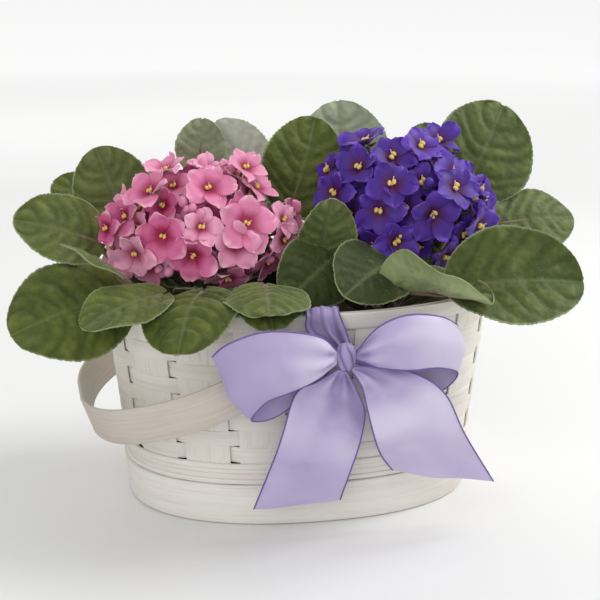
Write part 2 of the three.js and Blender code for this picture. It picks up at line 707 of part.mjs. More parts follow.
const basket = new THREE.Group();
basket.add(named('basket_floor', basketFloor(), splintFinish));
const baseBand = flatBand(0, BASE_BAND.height, BAND_CLEARANCE, BASE_BAND.thickness);
basket.add(named('base_band', baseBand, splintFinish));
['trim_lower', 'trim_upper'].forEach((name, index) => {
  const bottom = TRIM_BOTTOM + index * (TRIM.height + TRIM.gap);
  const band = roundBand(bottom, TRIM.height, BAND_CLEARANCE, TRIM.thickness);
  basket.add(named(name, band, splintFinish));
});
for (let number = 0; number < STAKE_COUNT; number += 1) {
  const plain = stake(number);
  const geometry = PIVOT_STAKES.includes(number) ? drill(plain, wallHoles()) : plain;
  basket.add(named(`stake_${String(number + 1).padStart(2, '0')}`, geometry, splintFinish));
}
for (let row = 0; row < WEAVER_ROWS; row += 1) {
  const geometry = row === PIVOT_ROW ? drill(weaver(row), wallHoles()) : weaver(row);
  basket.add(named(`weaver_${row + 1}`, geometry, splintFinish));
}
const rimOuter = flatBand(RIM_BOTTOM, RIM.height, BAND_CLEARANCE, RIM.thickness);
basket.add(named('rim_outer', rimOuter, splintFinish));
const rimInner = flatBand(RIM_BOTTOM, RIM.height, -BAND_CLEARANCE - SPLINT, SPLINT);
basket.add(named('rim_inner', rimInner, splintFinish));
[['front_pivot', -1], ['back_pivot', 1]].forEach(([name, side]) => {
  basket.add(named(name, rivet(side).translate(0, 0, PIVOT_HEIGHT), rivetFinish));
});
basket.add(named('liner', liner(), finish(COLOURS.liner, 0.4)));

const handle = new THREE.Group();
const handleHoles = [-1, 1].map(rivetHole);
handle.add(named('handle', drill(handleGeometry(), handleHoles), finish(COLOURS.handle, 0.75)));
handle.position.z = PIVOT_HEIGHT;
handle.rotation.y = -THREE.MathUtils.degToRad(HANDLE_HANG_DEG);

const plants = new THREE.Group();
for (const [name, x] of [['pink', -POT_SPACING], ['purple', POT_SPACING]]) {
  plants.add(named(`${name}_pot`, pot().translate(x, 0, 0), finish(COLOURS.pot, 0.5)));
  plants.add(named(`${name}_soil`, soil().translate(x, 0, 0), finish(COLOURS.soil, 0.95)));
}
plants.add(named('pink_foliage', foliage(PINK_LEAVES, -POT_SPACING), leafFinish));
plants.add(named('purple_foliage', foliage(PURPLE_LEAVES, POT_SPACING), leafFinish));
plants.add(named('pink_flowers', flowers(PINK_HEAD, PINK_BLOOMS, -POT_SPACING), pinkFinish));
plants.add(named('purple_flowers', flowers(PURPLE_HEAD, PURPLE_BLOOMS, POT_SPACING), purpleFinish));

const bow = new THREE.Group();
bow.add(named('bow_knot', bowKnot(BOW.knot), ribbonFinish));
bow.add(named('bow_loop_left', ribbonPiece(BOW.leftLoop), ribbonFinish));
bow.add(named('bow_loop_right', ribbonPiece(BOW.rightLoop), ribbonFinish));
bow.add(named('bow_tail_left', ribbonPiece(BOW.leftTail), ribbonFinish));
bow.add(named('bow_tail_right', ribbonPiece(BOW.rightTail), ribbonFinish));
bow.add(named('bow_tie', ribbonPiece(BOW.tie), ribbonFinish));

const violets = new THREE.Group();
violets.add(basket, handle, plants, bow);

export default violets;
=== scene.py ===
"""Two African violets, pink and purple, in an oval whitewashed splint basket.

The basket has a folded drop handle and a wide ribbon bow. Shapes are laid out in
millimetres in the model's own frame and become metres when a mesh is made.
"""
import logging
from dataclasses import dataclass, field
from enum import Enum
from math import asin, atan2, copysign, cos, degrees, exp, hypot, pi, radians, sin, sqrt
from typing import Callable, Iterable, Sequence

import bmesh
import bpy
import numpy as np
from mathutils import Matrix, Quaternion, Vector, noise


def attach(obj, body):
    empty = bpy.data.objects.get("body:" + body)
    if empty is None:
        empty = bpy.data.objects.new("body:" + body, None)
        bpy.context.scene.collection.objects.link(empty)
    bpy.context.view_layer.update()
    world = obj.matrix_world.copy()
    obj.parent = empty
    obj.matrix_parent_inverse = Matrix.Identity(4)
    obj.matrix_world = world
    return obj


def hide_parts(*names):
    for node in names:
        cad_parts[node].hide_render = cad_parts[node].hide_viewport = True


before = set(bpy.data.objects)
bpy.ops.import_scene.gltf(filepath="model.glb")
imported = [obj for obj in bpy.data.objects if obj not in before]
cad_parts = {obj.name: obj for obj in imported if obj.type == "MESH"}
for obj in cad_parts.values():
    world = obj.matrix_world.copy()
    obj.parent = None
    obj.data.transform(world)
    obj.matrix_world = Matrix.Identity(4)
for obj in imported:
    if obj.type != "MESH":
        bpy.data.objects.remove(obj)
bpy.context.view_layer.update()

log = logging.getLogger("violets")

MM = 0.001
TURN = 2 * pi
UP = np.array([0.0, 0.0, 1.0])
Pair = tuple[float, float]
Triple = tuple[float, float, float]
Colour = tuple[float, float, float]
Faces = list[tuple[int, ...]]
Array = np.ndarray
Socket = bpy.types.NodeSocket
Material = bpy.types.Material
Object = bpy.types.Object


class Body(Enum):
    """The bodies that pieces ride on."""

    BASKET = "basket"
    HANDLE = "handle"


class Slot(Enum):
    """The record's material slots."""

    SPLINT = "splint"
    HANDLE = "handle_wood"
    RIVET = "rivet"
    LINER = "liner_film"
    POT = "grower_pot"
    COMPOST = "compost"
    LEAF = "leaf"
    PINK = "pink_petal"
    PURPLE = "purple_petal"
    RIBBON = "ribbon"


class Grain(Enum):
    """The way that a splint's grain runs: stretch of the pattern along x, y and z."""

    AROUND = (15.0, 15.0, 560.0)
    UPRIGHT = (520.0, 520.0, 24.0)


# Small vector helpers
def unit(vector: Array) -> Array:
    """Returns the vector, or each row of vectors, at length one."""
    return vector / np.maximum(np.linalg.norm(vector, axis=-1, keepdims=True), 1e-9)


def run_lengths(path: Array) -> Array:
    """Returns the length run at each point of a path."""
    return np.concatenate([[0.0], np.cumsum(np.linalg.norm(np.diff(path, axis=0), axis=1))])


def mix(a: float, b: float, share: float) -> float:
    """Returns the value that lies the given share of the way from a to b."""
    return a + (b - a) * share


def smooth(share: float) -> float:
    """Returns an eased step from 0 to 1."""
    clamped = min(1.0, max(0.0, share))
    return clamped * clamped * (3 - 2 * clamped)


def spline(points: Sequence[Triple], count: int) -> Array:
    """Runs a smooth curve through points.

    Args:
        points: The points to pass through, in order.
        count: How many points to return.

    Returns:
        The curve's points, evenly spread by span.
    """
    p = np.array(points, float)
    p = np.vstack([2 * p[0] - p[1], p, 2 * p[-1] - p[-2]])
    out = []
    for t in np.linspace(0, len(p) - 3 - 1e-9, count):
        i = int(t)
        f = t - i
        a, b, c, d = p[i : i + 4]
        out.append(0.5 * (2 * b + (c - a) * f + (2 * a - 5 * b + 4 * c - d) * f * f
                          + (3 * b - a - 3 * c + d) * f ** 3))
    return np.array(out)


def bezier(a: Array, b: Array, c: Array, count: int) -> Array:
    """Returns count points on the curve from a to c that bends towards b."""
    t = np.linspace(0, 1, count)[:, None]
    return a * (1 - t) ** 2 + 2 * b * t * (1 - t) + c * t * t


def ripple(point: Array, size: float, seed: float) -> float:
    """Returns soft noise from -1 to 1 at a point in millimetres, with lumps of the given size."""
    return noise.noise(Vector(point) / size + Vector((seed, -seed * 0.7, seed * 1.3)))


# Surfaces
@dataclass
class Skin:
    """A surface: points in millimetres, faces, values at the points, and a material number."""

    points: Array
    faces: Faces
    values: dict[str, Array] = field(default_factory=dict)
    material: int = 0

    def tagged(self, **values: float) -> "Skin":
        """Returns the skin with the same value at all its points, under each given name."""
        for name, value in values.items():
            self.values[name] = np.full(len(self.points), value, float)
        return self


def grid_faces(rows: int, columns: int, wrap: bool = False) -> Faces:
    """Lists the quads of a grid of points.

    Args:
        rows: The number of rows.
        columns: The points in each row.
        wrap: Whether each row closes on itself.

    Returns:
        The quads, as point numbers.
    """
    faces = []
    for i in range(rows - 1):
        low, high = i * columns, (i + 1) * columns
        for j in range(columns if wrap else columns - 1):
            k = (j + 1) % columns
            faces.append((low + j, low + k, high + k, high + j))
    return faces


def pipe_faces(rings: int, sides: int, sense: int = 1) -> Faces:
    """Lists the faces of rings of points that make a pipe.

    Args:
        rings: The number of rings.
        sides: The points in each ring.
        sense: Which way round the first end is listed, 1 or -1.

    Returns:
        The quads and the two ends.
    """
    last = (rings - 1) * sides
    ends = [tuple(range(sides))[::sense], tuple(range(last, last + sides))]
    return grid_faces(rings, sides, wrap=True) + ends


def ball_faces(rings: int, sides: int) -> Faces:
    """Lists the faces of a ball.

    Args:
        rings: The rings of points, from the top down, before the two poles.
        sides: The points in each ring.

    Returns:
        The faces, as point numbers.
    """
    faces = grid_faces(rings, sides, wrap=True)
    top, last = rings * sides, (rings - 1) * sides
    for j in range(sides):
        k = (j + 1) % sides
        faces += [(top, k, j), (top + 1, last + j, last + k)]
    return faces


def sheet_skin(grid: Array, thickness: float, values: dict[str, Array] | None = None) -> Skin:
    """Gives a grid of points a thickness and closed edges.

    Args:
        grid: The upper face's points, rows by columns.
        thickness: The distance to the lower face.
        values: Named values for each point of the grid.

    Returns:
        The closed skin, with the value "under" at 1 on its lower face.
    """
    rows, columns = grid.shape[:2]
    normal = unit(np.cross(np.gradient(grid, axis=0), np.gradient(grid, axis=1)))
    upper = grid.reshape(-1, 3)
    lower = (grid + normal * thickness).reshape(-1, 3)
    count = rows * columns
    faces = grid_faces(rows, columns)
    faces += [tuple(count + i for i in reversed(face)) for face in grid_faces(rows, columns)]
    border = list(range(columns - 1))
    border += [i * columns + columns - 1 for i in range(rows - 1)]
    border += [(rows - 1) * columns + j for j in range(columns - 1, 0, -1)]
    border += [i * columns for i in range(rows - 1, 0, -1)]
    for a, b in zip(border, border[1:] + border[:1]):
        faces.append((b, a, count + a, count + b))
    named = {name: np.tile(np.asarray(value, float).reshape(-1), 2) for name, value in (values or {}).items()}
    named["under"] = np.repeat([0.0, 1.0], count)
    return Skin(np.vstack([upper, lower]), faces, named)


def tube_skin(path: Array, radius: Sequence[float] | float, sides: int = 8, material: int = 0) -> Skin:
    """Runs a round tube with closed ends along a path.

    Args:
        path: The points that the tube's middle follows.
        radius: One radius, or one for each point.
        sides: The tube's sides.
        material: The material number.

    Returns:
        The closed skin.
    """
    count = len(path)
    radii = np.full(count, radius, float) if np.isscalar(radius) else np.asarray(radius, float)
    way = unit(np.gradient(path, axis=0))
    helper = np.array([1.0, 0, 0]) if abs(way[0][0]) < 0.8 else np.array([0, 1.0, 0])
    side = unit(np.cross(way[0], helper))
    angles = np.arange(sides) / sides * 2 * np.pi
    rings = []
    for i in range(count):
        side = unit(side - way[i] * np.dot(side, way[i]))
        up = np.cross(way[i], side)
        ring = np.cos(angles)[:, None] * side + np.sin(angles)[:, None] * up
        rings.append(path[i] + ring * radii[i])
    return Skin(np.vstack(rings), pipe_faces(count, sides, sense=-1), {}, material)


def turned_skin(profile: Sequence[Pair], sides: int, centre: Triple = (0, 0, 0), material: int = 0) -> Skin:
    """Turns a profile of (radius, height) points about an upright axis.

    Args:
        profile: The points, from one end of the axis to the other.
        sides: The number of sides.
        centre: Where the axis stands.
        material: The material number.

    Returns:
        The closed skin.
    """
    least = 1e-3
    points = []
    for radius, height in profile:
        reach = max(radius, least)
        for j in range(sides):
            angle = j / sides * TURN
            points.append((reach * cos(angle), reach * sin(angle), height))
    return Skin(np.array(points) + np.array(centre, float), pipe_faces(len(profile), sides), {}, material)


def ball_skin(centre: Array, axes: Sequence[Array], sides: int, rings: int,
              material: int = 0) -> Skin:
    """Makes an egg shape.

    Args:
        centre: Its middle.
        axes: Its three half axes, the last through its poles.
        sides: Its sides.
        rings: Its rings.
        material: The material number.

    Returns:
        The closed skin.
    """
    points = []
    for i in range(1, rings):
        polar = i / rings * pi
        for j in range(sides):
            angle = j / sides * TURN
            points.append(centre + axes[0] * sin(polar) * cos(angle)
                          + axes[1] * sin(polar) * sin(angle) + axes[2] * cos(polar))
    points += [centre + axes[2], centre - axes[2]]
    return Skin(np.array(points), ball_faces(rings - 1, sides), {}, material)


# Objects
def link(name: str, data: bpy.types.ID) -> Object:
    """Links a new object to the scene.

    Args:
        name: Its name.
        data: Its mesh, lamp or camera.

    Returns:
        The object.
    """
    made = bpy.data.objects.new(name, data)
    bpy.context.collection.objects.link(made)
    return made


def set_values(mesh: bpy.types.Mesh, name: str, values: Array) -> None:
    """Stores one number at each point of a mesh, under a name."""
    mesh.attributes.new(name, "FLOAT", "POINT").data.foreach_set("value", values)


def soften(mesh: bpy.types.Mesh, sharp: float) -> None:
    """Shades a mesh smooth, but for edges sharper than an angle in degrees."""
    mesh.shade_smooth()
    mesh.set_sharp_from_angle(angle=radians(sharp))


def to_object(name: str, skins: Iterable[Skin], materials: Sequence[Material],
              sharp: float = 40.0) -> Object:
    """Makes one mesh object of several skins.

    Args:
        name: The object's name.
        skins: The skins to join.
        materials: The materials that the skins' numbers point to.
        sharp: The angle in degrees past which an edge stays sharp.

    Returns:
        The object, linked to the scene, with its faces outwards.
    """
    skins = list(skins)
    faces: Faces = []
    kinds: list[int] = []
    start = 0
    for skin in skins:
        faces += [tuple(start + i for i in face) for face in skin.faces]
        kinds += [skin.material] * len(skin.faces)
        start += len(skin.points)
    mesh = bpy.data.meshes.new(name)
    mesh.from_pydata((np.vstack([skin.points for skin in skins]) * MM).tolist(), [], faces)
    mesh.polygons.foreach_set("material_index", kinds)
    for key in sorted({key for skin in skins for key in skin.values}):
        values = [skin.values.get(key, np.zeros(len(skin.points))) for skin in skins]
        set_values(mesh, key, np.concatenate(values))
    work = bmesh.new()
    work.from_mesh(mesh)
    bmesh.ops.recalc_face_normals(work, faces=work.faces)
    work.to_mesh(mesh)
    work.free()
    for material in materials:
        mesh.materials.append(material)
    soften(mesh, sharp)
    return link(name, mesh)


def settle(piece: Object, nodes: Sequence[str] = (), body: Body = Body.BASKET) -> None:
    """Puts a finished piece on its body and reports it.

    Args:
        piece: The piece, in its place.
        nodes: The model's nodes that it stands for.
        body: The body that it rides on.
    """
    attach(piece, body.value)
    if nodes:
        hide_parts(*nodes)
    faces = sum(len(face.vertices) - 2 for face in piece.data.polygons)
    log.info("%s: %d triangles, for %s", piece.name, faces, ", ".join(nodes) or "no node")


def dress_node(name: str, material: Material) -> None:
    """Gives a node of the model a finish of its own.

    Args:
        name: The node's name.
        material: The finish.
    """
    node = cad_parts[name]
    node.data.materials.clear()
    node.data.materials.append(material)
    log.info("%s: kept as modelled, with %s", name, material.name)


# Node trees
class Nodes:
    """A node tree while it is written."""

    def __init__(self, tree: bpy.types.NodeTree) -> None:
        """Starts from a tree."""
        self.tree = tree

    def node(self, kind: str, links: dict[int | str, object] | None = None,
             **settings: object) -> bpy.types.Node:
        """Adds a node.

        Args:
            kind: The node's type.
            links: What goes into each input socket: a socket or a plain value.
            settings: The node's own settings.

        Returns:
            The node.
        """
        made = self.tree.nodes.new(kind)
        for key, value in settings.items():
            setattr(made, key, value)
        for key, value in (links or {}).items():
            if isinstance(value, Socket):
                self.tree.links.new(value, made.inputs[key])
            else:
                made.inputs[key].default_value = value
        return made


class Tree(Nodes):
    """A geometry node tree while it is written."""

    def __init__(self, name: str) -> None:
        """Starts a tree with a geometry input and output.

        Args:
            name: The tree's name.
        """
        super().__init__(bpy.data.node_groups.new(name, "GeometryNodeTree"))
        for way in ("INPUT", "OUTPUT"):
            self.tree.interface.new_socket("Geometry", in_out=way, socket_type="NodeSocketGeometry")
        self.source = self.tree.nodes.new("NodeGroupInput")
        self.sink = self.tree.nodes.new("NodeGroupOutput")
        self.inputs: dict[str, str] = {}

    def input(self, name: str, kind: str = "Float") -> Socket:
        """Adds a named input.

        Args:
            name: Its name.
            kind: Its socket's kind.

        Returns:
            Its socket.
        """
        item = self.tree.interface.new_socket(name, in_out="INPUT", socket_type="NodeSocket" + kind)
        self.inputs[name] = item.identifier
        return self.source.outputs[name]

    def value(self, name: str, kind: str = "FLOAT") -> Socket:
        """Returns the named value of the points."""
        return self.node("GeometryNodeInputNamedAttribute", {"Name": name}, data_type=kind).outputs[0]

    def parts(self, points: Socket, part: Socket, rotation: Socket, scale: Socket) -> Socket:
        """Sets a part at each point, turned and sized, and returns the geometry."""
        shape = self.node("GeometryNodeObjectInfo", {"Object": part}).outputs["Geometry"]
        return self.node("GeometryNodeInstanceOnPoints", {
            "Points": points, "Instance": shape, "Rotation": rotation, "Scale": scale}).outputs[0]

    def finish(self, geometry: Socket, material: Socket) -> None:
        """Ends the tree: real geometry, one material, out.

        Args:
            geometry: What the tree made.
            material: The finish for all of it.
        """
        real = self.node("GeometryNodeRealizeInstances", {"Geometry": geometry})
        dressed = self.node("GeometryNodeSetMaterial", {"Geometry": real.outputs[0], "Material": material})
        self.tree.links.new(dressed.outputs[0], self.sink.inputs[0])

    def run(self, source: Object, name: str, **values: object) -> Object:
        """Runs the tree on an object.

        Args:
            source: The object that the tree starts from, left as it is.
            name: The new object's name.
            values: The value for each named input.

        Returns:
            A new plain mesh object.
        """
        modifier = source.modifiers.new(self.tree.name, "NODES")
        modifier.node_group = self.tree
        for key, value in values.items():
            modifier[self.inputs[key.capitalize()]] = value
        bpy.context.view_layer.update()
        depsgraph = bpy.context.evaluated_depsgraph_get()
        mesh = bpy.data.meshes.new_from_object(source.evaluated_get(depsgraph))
        source.modifiers.remove(modifier)
        mesh.name = name
        return link(name, mesh)


def splint_tree() -> Tree:
    """Sweeps a flat strip with eased edges along a closed path, leaning with the wall.

    Returns:
        The tree, for a path with the value lean at its points.
    """
    tree = Tree("splint strip")
    height, depth, easing = tree.input("Height"), tree.input("Thickness"), tree.input("Easing")
    material = tree.input("Material", "Material")
    curve = tree.node("GeometryNodeMeshToCurve", {"Mesh": tree.source.outputs[0]})
    level = tree.node("GeometryNodeSetCurveNormal", {"Curve": curve.outputs[0]}, mode="Z_UP")
    tilted = tree.node("GeometryNodeSetCurveTilt", {"Curve": level.outputs[0], "Tilt": tree.value("lean")})
    section = tree.node("GeometryNodeCurvePrimitiveQuadrilateral", {"Width": depth, "Height": height})
    eased = tree.node("GeometryNodeFilletCurve", {
        "Curve": section.outputs[0], "Count": 2, "Radius": easing}, mode="POLY")
    swept = tree.node("GeometryNodeCurveToMesh", {
        "Curve": tilted.outputs[0], "Profile Curve": eased.outputs[0], "Fill Caps": True})
    tree.finish(swept.outputs[0], material)
    return tree


def placing_tree() -> Tree:
    """Sets a small part at each point, turned and sized by the point's own values.

    Returns:
        The tree, for points with the values turn and size.
    """
    tree = Tree("placed parts")
    part, material = tree.input("Part", "Object"), tree.input("Material", "Material")
    euler = tree.node("FunctionNodeEulerToRotation", {0: tree.value("turn", "FLOAT_VECTOR")})
    tree.finish(tree.parts(tree.source.outputs[0], part, euler.outputs[0], tree.value("size")), material)
    return tree


def strewn_tree() -> Tree:
    """Strews a small part over a surface, upright on it with a random lean, turn and size.

    Returns:
        The tree, for any mesh.
    """
    tree = Tree("strewn parts")
    part, seed = tree.input("Part", "Object"), tree.input("Seed", "Int")
    density, least, most, slant = (tree.input(name) for name in ("Density", "Smallest", "Largest", "Slant"))
    material = tree.input("Material", "Material")
    where = tree.node("GeometryNodeDistributePointsOnFaces", {
        "Mesh": tree.source.outputs[0], "Density": density, "Seed": seed}, distribute_method="RANDOM")
    wide = tree.node("ShaderNodeVectorMath", {0: (1.0, 1.0, 0.0), "Scale": slant}, operation="SCALE")
    back = tree.node("ShaderNodeVectorMath", {0: wide.outputs[0], "Scale": -1.0}, operation="SCALE")
    lean = tree.node("FunctionNodeRandomValue", {
        0: back.outputs[0], 1: wide.outputs[0], "Seed": seed}, data_type="FLOAT_VECTOR")
    size = tree.node("FunctionNodeRandomValue", {2: least, 3: most, "Seed": seed}, data_type="FLOAT")
    leaning = tree.node("FunctionNodeEulerToRotation", {0: lean.outputs[0]})
    turned = tree.node("FunctionNodeRotateRotation", {
        0: where.outputs["Rotation"], 1: leaning.outputs[0]}, rotation_space="LOCAL")
    placed = tree.parts(where.outputs["Points"], part, turned.outputs[0], size.outputs[1])
    tree.finish(placed, material)
    return tree


def point_cloud(name: str, places: Sequence[tuple[Array, Triple, float]]) -> Object:
    """Makes an object of loose points.

    Args:
        name: The object's name.
        places: The place in millimetres, the turn as angles in radians, and the size of each.

    Returns:
        The object, with its points' turns and sizes as attributes.
    """
    mesh = bpy.data.meshes.new(name)
    mesh.from_pydata([(np.array(place) * MM).tolist() for place, _, _ in places], [], [])
    turn = mesh.attributes.new("turn", "FLOAT_VECTOR", "POINT")
    turn.data.foreach_set("vector", np.array([t for _, t, _ in places], float).reshape(-1))
    set_values(mesh, "size", np.array([s for _, _, s in places], float))
    return link(name, mesh)


def discard(*objects: Object) -> None:
    """Deletes helper objects and their meshes.

    Args:
        objects: The helpers.
    """
    for made in objects:
        mesh = made.data
        bpy.data.objects.remove(made)
        bpy.data.meshes.remove(mesh)


# Finishes
class Paint(Nodes):
    """A material's shader nodes while they are written."""

    def __init__(self, name: str, roughness: float, **sockets: object) -> None:
        """Starts a material.

        Args:
            name: Its name.
            roughness: Its roughness.
            sockets: Plain values for the shader's other sockets.
        """
        self.material = bpy.data.materials.new(name)
        self.material.use_nodes = True
        super().__init__(self.material.node_tree)
        self.shader = self.tree.nodes["Principled BSDF"]
        self.shader.inputs["Roughness"].default_value = roughness
        for key, value in sockets.items():
            self.shader.inputs[key.replace("_", " ")].default_value = value

    def place(self, stretch: Triple = (1, 1, 1)) -> Socket:
        """Returns the object's own coordinates, stretched."""
        own = self.node("ShaderNodeTexCoord")
        return self.node("ShaderNodeMapping", {"Vector": own.outputs["Object"], "Scale": stretch}).outputs[0]

    def value(self, name: str) -> Socket:
        """Returns the named value of the piece's points."""
        return self.node("ShaderNodeAttribute", attribute_name=name).outputs["Fac"]

    def speckle(self, place: Socket, scale: float, detail: float = 3.0, rough: float = 0.55) -> Socket:
        """Returns noise at a scale, in lumps for each metre."""
        return self.node("ShaderNodeTexNoise", {
            "Vector": place, "Scale": scale, "Detail": detail, "Roughness": rough}).outputs["Fac"]

    def cells(self, place: Socket, scale: float) -> Socket:
        """Returns the distance to the edges of rounded cells."""
        made = self.node("ShaderNodeTexVoronoi", {"Vector": place, "Scale": scale}, feature="SMOOTH_F1")
        return made.outputs["Distance"]

    def math(self, operation: str, a: object, b: object = 0.5) -> Socket:
        """Returns the result of a sum on two numbers or sockets."""
        return self.node("ShaderNodeMath", {0: a, 1: b}, operation=operation).outputs[0]

    def span(self, source: Socket, over: Pair, onto: Pair = (0.0, 1.0)) -> Socket:
        """Maps a span of values onto another, clamped."""
        return self.node("ShaderNodeMapRange", {
            "Value": source, "From Min": over[0], "From Max": over[1], "To Min": onto[0], "To Max": onto[1],
        }).outputs[0]

    def ramp(self, source: Socket, stops: Sequence[tuple[float, Colour]]) -> Socket:
        """Lays colours along a value.

        Args:
            source: The value.
            stops: Places along it and their colours.

        Returns:
            The colour.
        """
        made = self.node("ShaderNodeValToRGB", {0: source})
        band = made.color_ramp.elements
        band[0].position, band[0].color = stops[0][0], (*stops[0][1], 1)
        band[1].position, band[1].color = stops[-1][0], (*stops[-1][1], 1)
        for position, colour in stops[1:-1]:
            band.new(position).color = (*colour, 1)
        return made.outputs[0]

    def blend(self, share: object, a: Socket | Colour, b: Socket | Colour) -> Socket:
        """Returns one colour mixed with another by a share."""
        first, second = ((*c, 1) if isinstance(c, tuple) else c for c in (a, b))
        return self.node("ShaderNodeMix", {0: share, 6: first, 7: second}, data_type="RGBA").outputs[2]

    def layer(self, colour: Socket | Colour, other: Socket | Colour, source: Socket | str, over: Pair,
              share: Pair) -> Socket:
        """Lays another colour over a colour, as strongly as a value says.

        Args:
            colour: The colour beneath.
            other: The colour laid over it.
            source: The value, or the name of a value of the piece's points.
            over: The ends of the value's span.
            share: The other colour's share at each of them.

        Returns:
            The mixed colour.
        """
        value = self.value(source) if isinstance(source, str) else source
        return self.blend(self.span(value, over, share), colour, other)

    def done(self, colour: Socket, height: Socket, relief: float, strength: float,
             roughness: Socket | None = None) -> Material:
        """Joins colour, relief and roughness to the shader.

        Args:
            colour: The base colour.
            height: The relief's height.
            relief: The relief's depth in metres.
            strength: How strongly the relief shows.
            roughness: The roughness, where it varies.

        Returns:
            The material.
        """
        bump = self.node("ShaderNodeBump", {"Height": height, "Distance": relief, "Strength": strength})
        self.tree.links.new(colour, self.shader.inputs["Base Color"])
        self.tree.links.new(bump.outputs[0], self.shader.inputs["Normal"])
        if roughness is not None:
            self.tree.links.new(roughness, self.shader.inputs["Roughness"])
        return self.material


@dataclass(frozen=True)
class SplintFinish:
    """Whitewashed wood strip: pale wash over warm grain, with dark flecks and pinkish streaks."""

    name: str
    grain: Grain
    wash: Colour = (0.84, 0.82, 0.77)
    chalk: Colour = (0.85, 0.84, 0.80)
    warm: Colour = (0.73, 0.67, 0.59)
    cream: Colour = (0.74, 0.70, 0.58)
    pink: Colour = (0.76, 0.66, 0.60)
    fleck: Colour = (0.24, 0.17, 0.12)
    broad: float = 0.35
    fine: float = 1.6

    def grains(self, paint: Paint, stretch: float, detail: float, rough: float = 0.55) -> Socket:
        """Returns noise along the grain, drawn finer by a stretch."""
        return paint.speckle(paint.place(tuple(v * stretch for v in self.grain.value)), 1.0, detail, rough)

    def material(self) -> Material:
        """Builds the material.

        Returns:
            The material.
        """
        paint = Paint(self.name, 0.72, Specular_IOR_Level=0.3)
        streaks = self.grains(paint, 1.0, 5.0, 0.62)
        colour = paint.ramp(streaks, [(0.30, self.warm), (0.47, self.wash), (0.74, self.chalk)])
        for other, source, over, most in (
                (self.pink, self.grains(paint, self.broad, 2.0), (0.50, 0.74), 0.5),
                (self.cream, paint.speckle(paint.place(), 17.0, 2.0), (0.45, 0.7), 0.35),
                (self.fleck, self.grains(paint, self.fine, 2.0), (0.735, 0.80), 0.75),
                (self.pink, "tone", (0.0, 1.0), 0.35)):
            colour = paint.layer(colour, other, source, over, (0.0, most))
        return paint.done(colour, streaks, 0.0005, 0.45, paint.span(streaks, (0.3, 0.8), (0.82, 0.6)))


@dataclass(frozen=True)
class HandleFinish:
    """Bent wood band under a thin grey-white wash, its grain along the band."""

    name: str = "washed band wood"
    pale: Colour = (0.585, 0.53, 0.465)
    deep: Colour = (0.545, 0.485, 0.42)
    chalk: Colour = (0.65, 0.60, 0.53)
    brown: Colour = (0.52, 0.44, 0.37)
    grey: Colour = (0.63, 0.58, 0.54)

    def material(self) -> Material:
        """Builds the material.

        Returns:
            The material.
        """
        paint = Paint(self.name, 0.7, Specular_IOR_Level=0.3)
        run = paint.node("ShaderNodeCombineXYZ", {
            0: paint.math("MULTIPLY", paint.value("along"), 0.026),
            1: paint.math("MULTIPLY", paint.value("across"), 0.75), 2: 0.0}).outputs[0]
        finer = paint.node("ShaderNodeVectorMath", {0: run, "Scale": 3.1}, operation="SCALE").outputs[0]
        streaks, fine = paint.speckle(run, 1.0, 5.0, 0.6), paint.speckle(finer, 1.0, 4.0, 0.6)
        colour = paint.ramp(streaks, [(0.32, self.deep), (0.50, self.pale), (0.74, self.chalk)])
        colour = paint.layer(colour, self.brown, fine, (0.42, 0.66), (0.0, 0.22))
        clouds = paint.speckle(paint.place(), 30.0, 2.0)
        colour = paint.layer(colour, self.grey, clouds, (0.4, 0.7), (0.0, 0.4))
        return paint.done(colour, fine, 0.0002, 0.14)


@dataclass(frozen=True)
class LeafFinish:
    """Hairy quilted leaf: deep green between paler veins, silvery at the margin, pale beneath.

    Its face has a painted highlight on the quilt's puffs and a painted shade in the hollows between them. By
    tone it also has a painted highlight and painted sheen on paler leaves, and a painted shade on darker ones.
    """

    name: str
    deep: Colour = (0.044, 0.063, 0.007)
    fresh: Colour = (0.130, 0.156, 0.020)
    pale: Colour = (0.240, 0.275, 0.115)
    painted_sheen: Colour = (0.78, 0.82, 0.74)
    margin: Colour = (0.36, 0.42, 0.23)
    under: Colour = (0.31, 0.365, 0.17)
    painted_shade: Colour = (0.014, 0.020, 0.004)
    hollow: Colour = (0.19, 0.245, 0.095)
    nerve: Colour = (0.30, 0.17, 0.10)
    sheen: Colour = (0.85, 0.92, 0.70)

    def material(self) -> Material:
        """Builds the material.

        Returns:
            The material.
        """
        paint = Paint(self.name, 0.66, Specular_IOR_Level=0.30, Sheen_Weight=0.30, Sheen_Roughness=0.4,
                      Sheen_Tint=(*self.sheen, 1))
        place = paint.place()
        patches, pebbles = paint.speckle(place, 75.0, 3.0), paint.cells(place, 300.0)
        face = paint.ramp(patches, [(0.32, self.deep), (0.68, self.fresh)])
        for other, source, over, share in (
                # Tone above 0 gives a paler face, a painted highlight; below 0 a darker face, a painted shade
                (self.pale, "tone", (0.0, 1.0), (0.0, 0.65)),
                (self.painted_shade, "tone", (-1.0, 0.0), (0.72, 0.0)),
                # Puff: painted highlight on the quilt's tops, painted shade in its hollows
                (self.pale, "puff", (0.85, 1.35), (0.0, 0.35)),
                (self.deep, "puff", (0.0, 0.95), (0.58, 0.0)),
                (self.deep, pebbles, (0.0, 0.55), (0.30, 0.0)),
                # High tone: painted sheen on the palest leaves
                (self.painted_sheen, "tone", (0.7, 2.0), (0.0, 0.62)),
                (self.pale, "vein", (0.3, 1.0), (0.0, 0.30)),
                (self.margin, "edge", (0.86, 1.0), (0.0, 0.60))):
            face = paint.layer(face, other, source, over, share)
        beneath = paint.layer(self.under, self.hollow, patches, (0.35, 0.65), (0.0, 0.7))
        beneath = paint.layer(beneath, self.nerve, "vein", (0.1, 0.7), (0.0, 0.75))
        return paint.done(paint.blend(paint.value("under"), face, beneath), pebbles, 0.0012, 0.6)


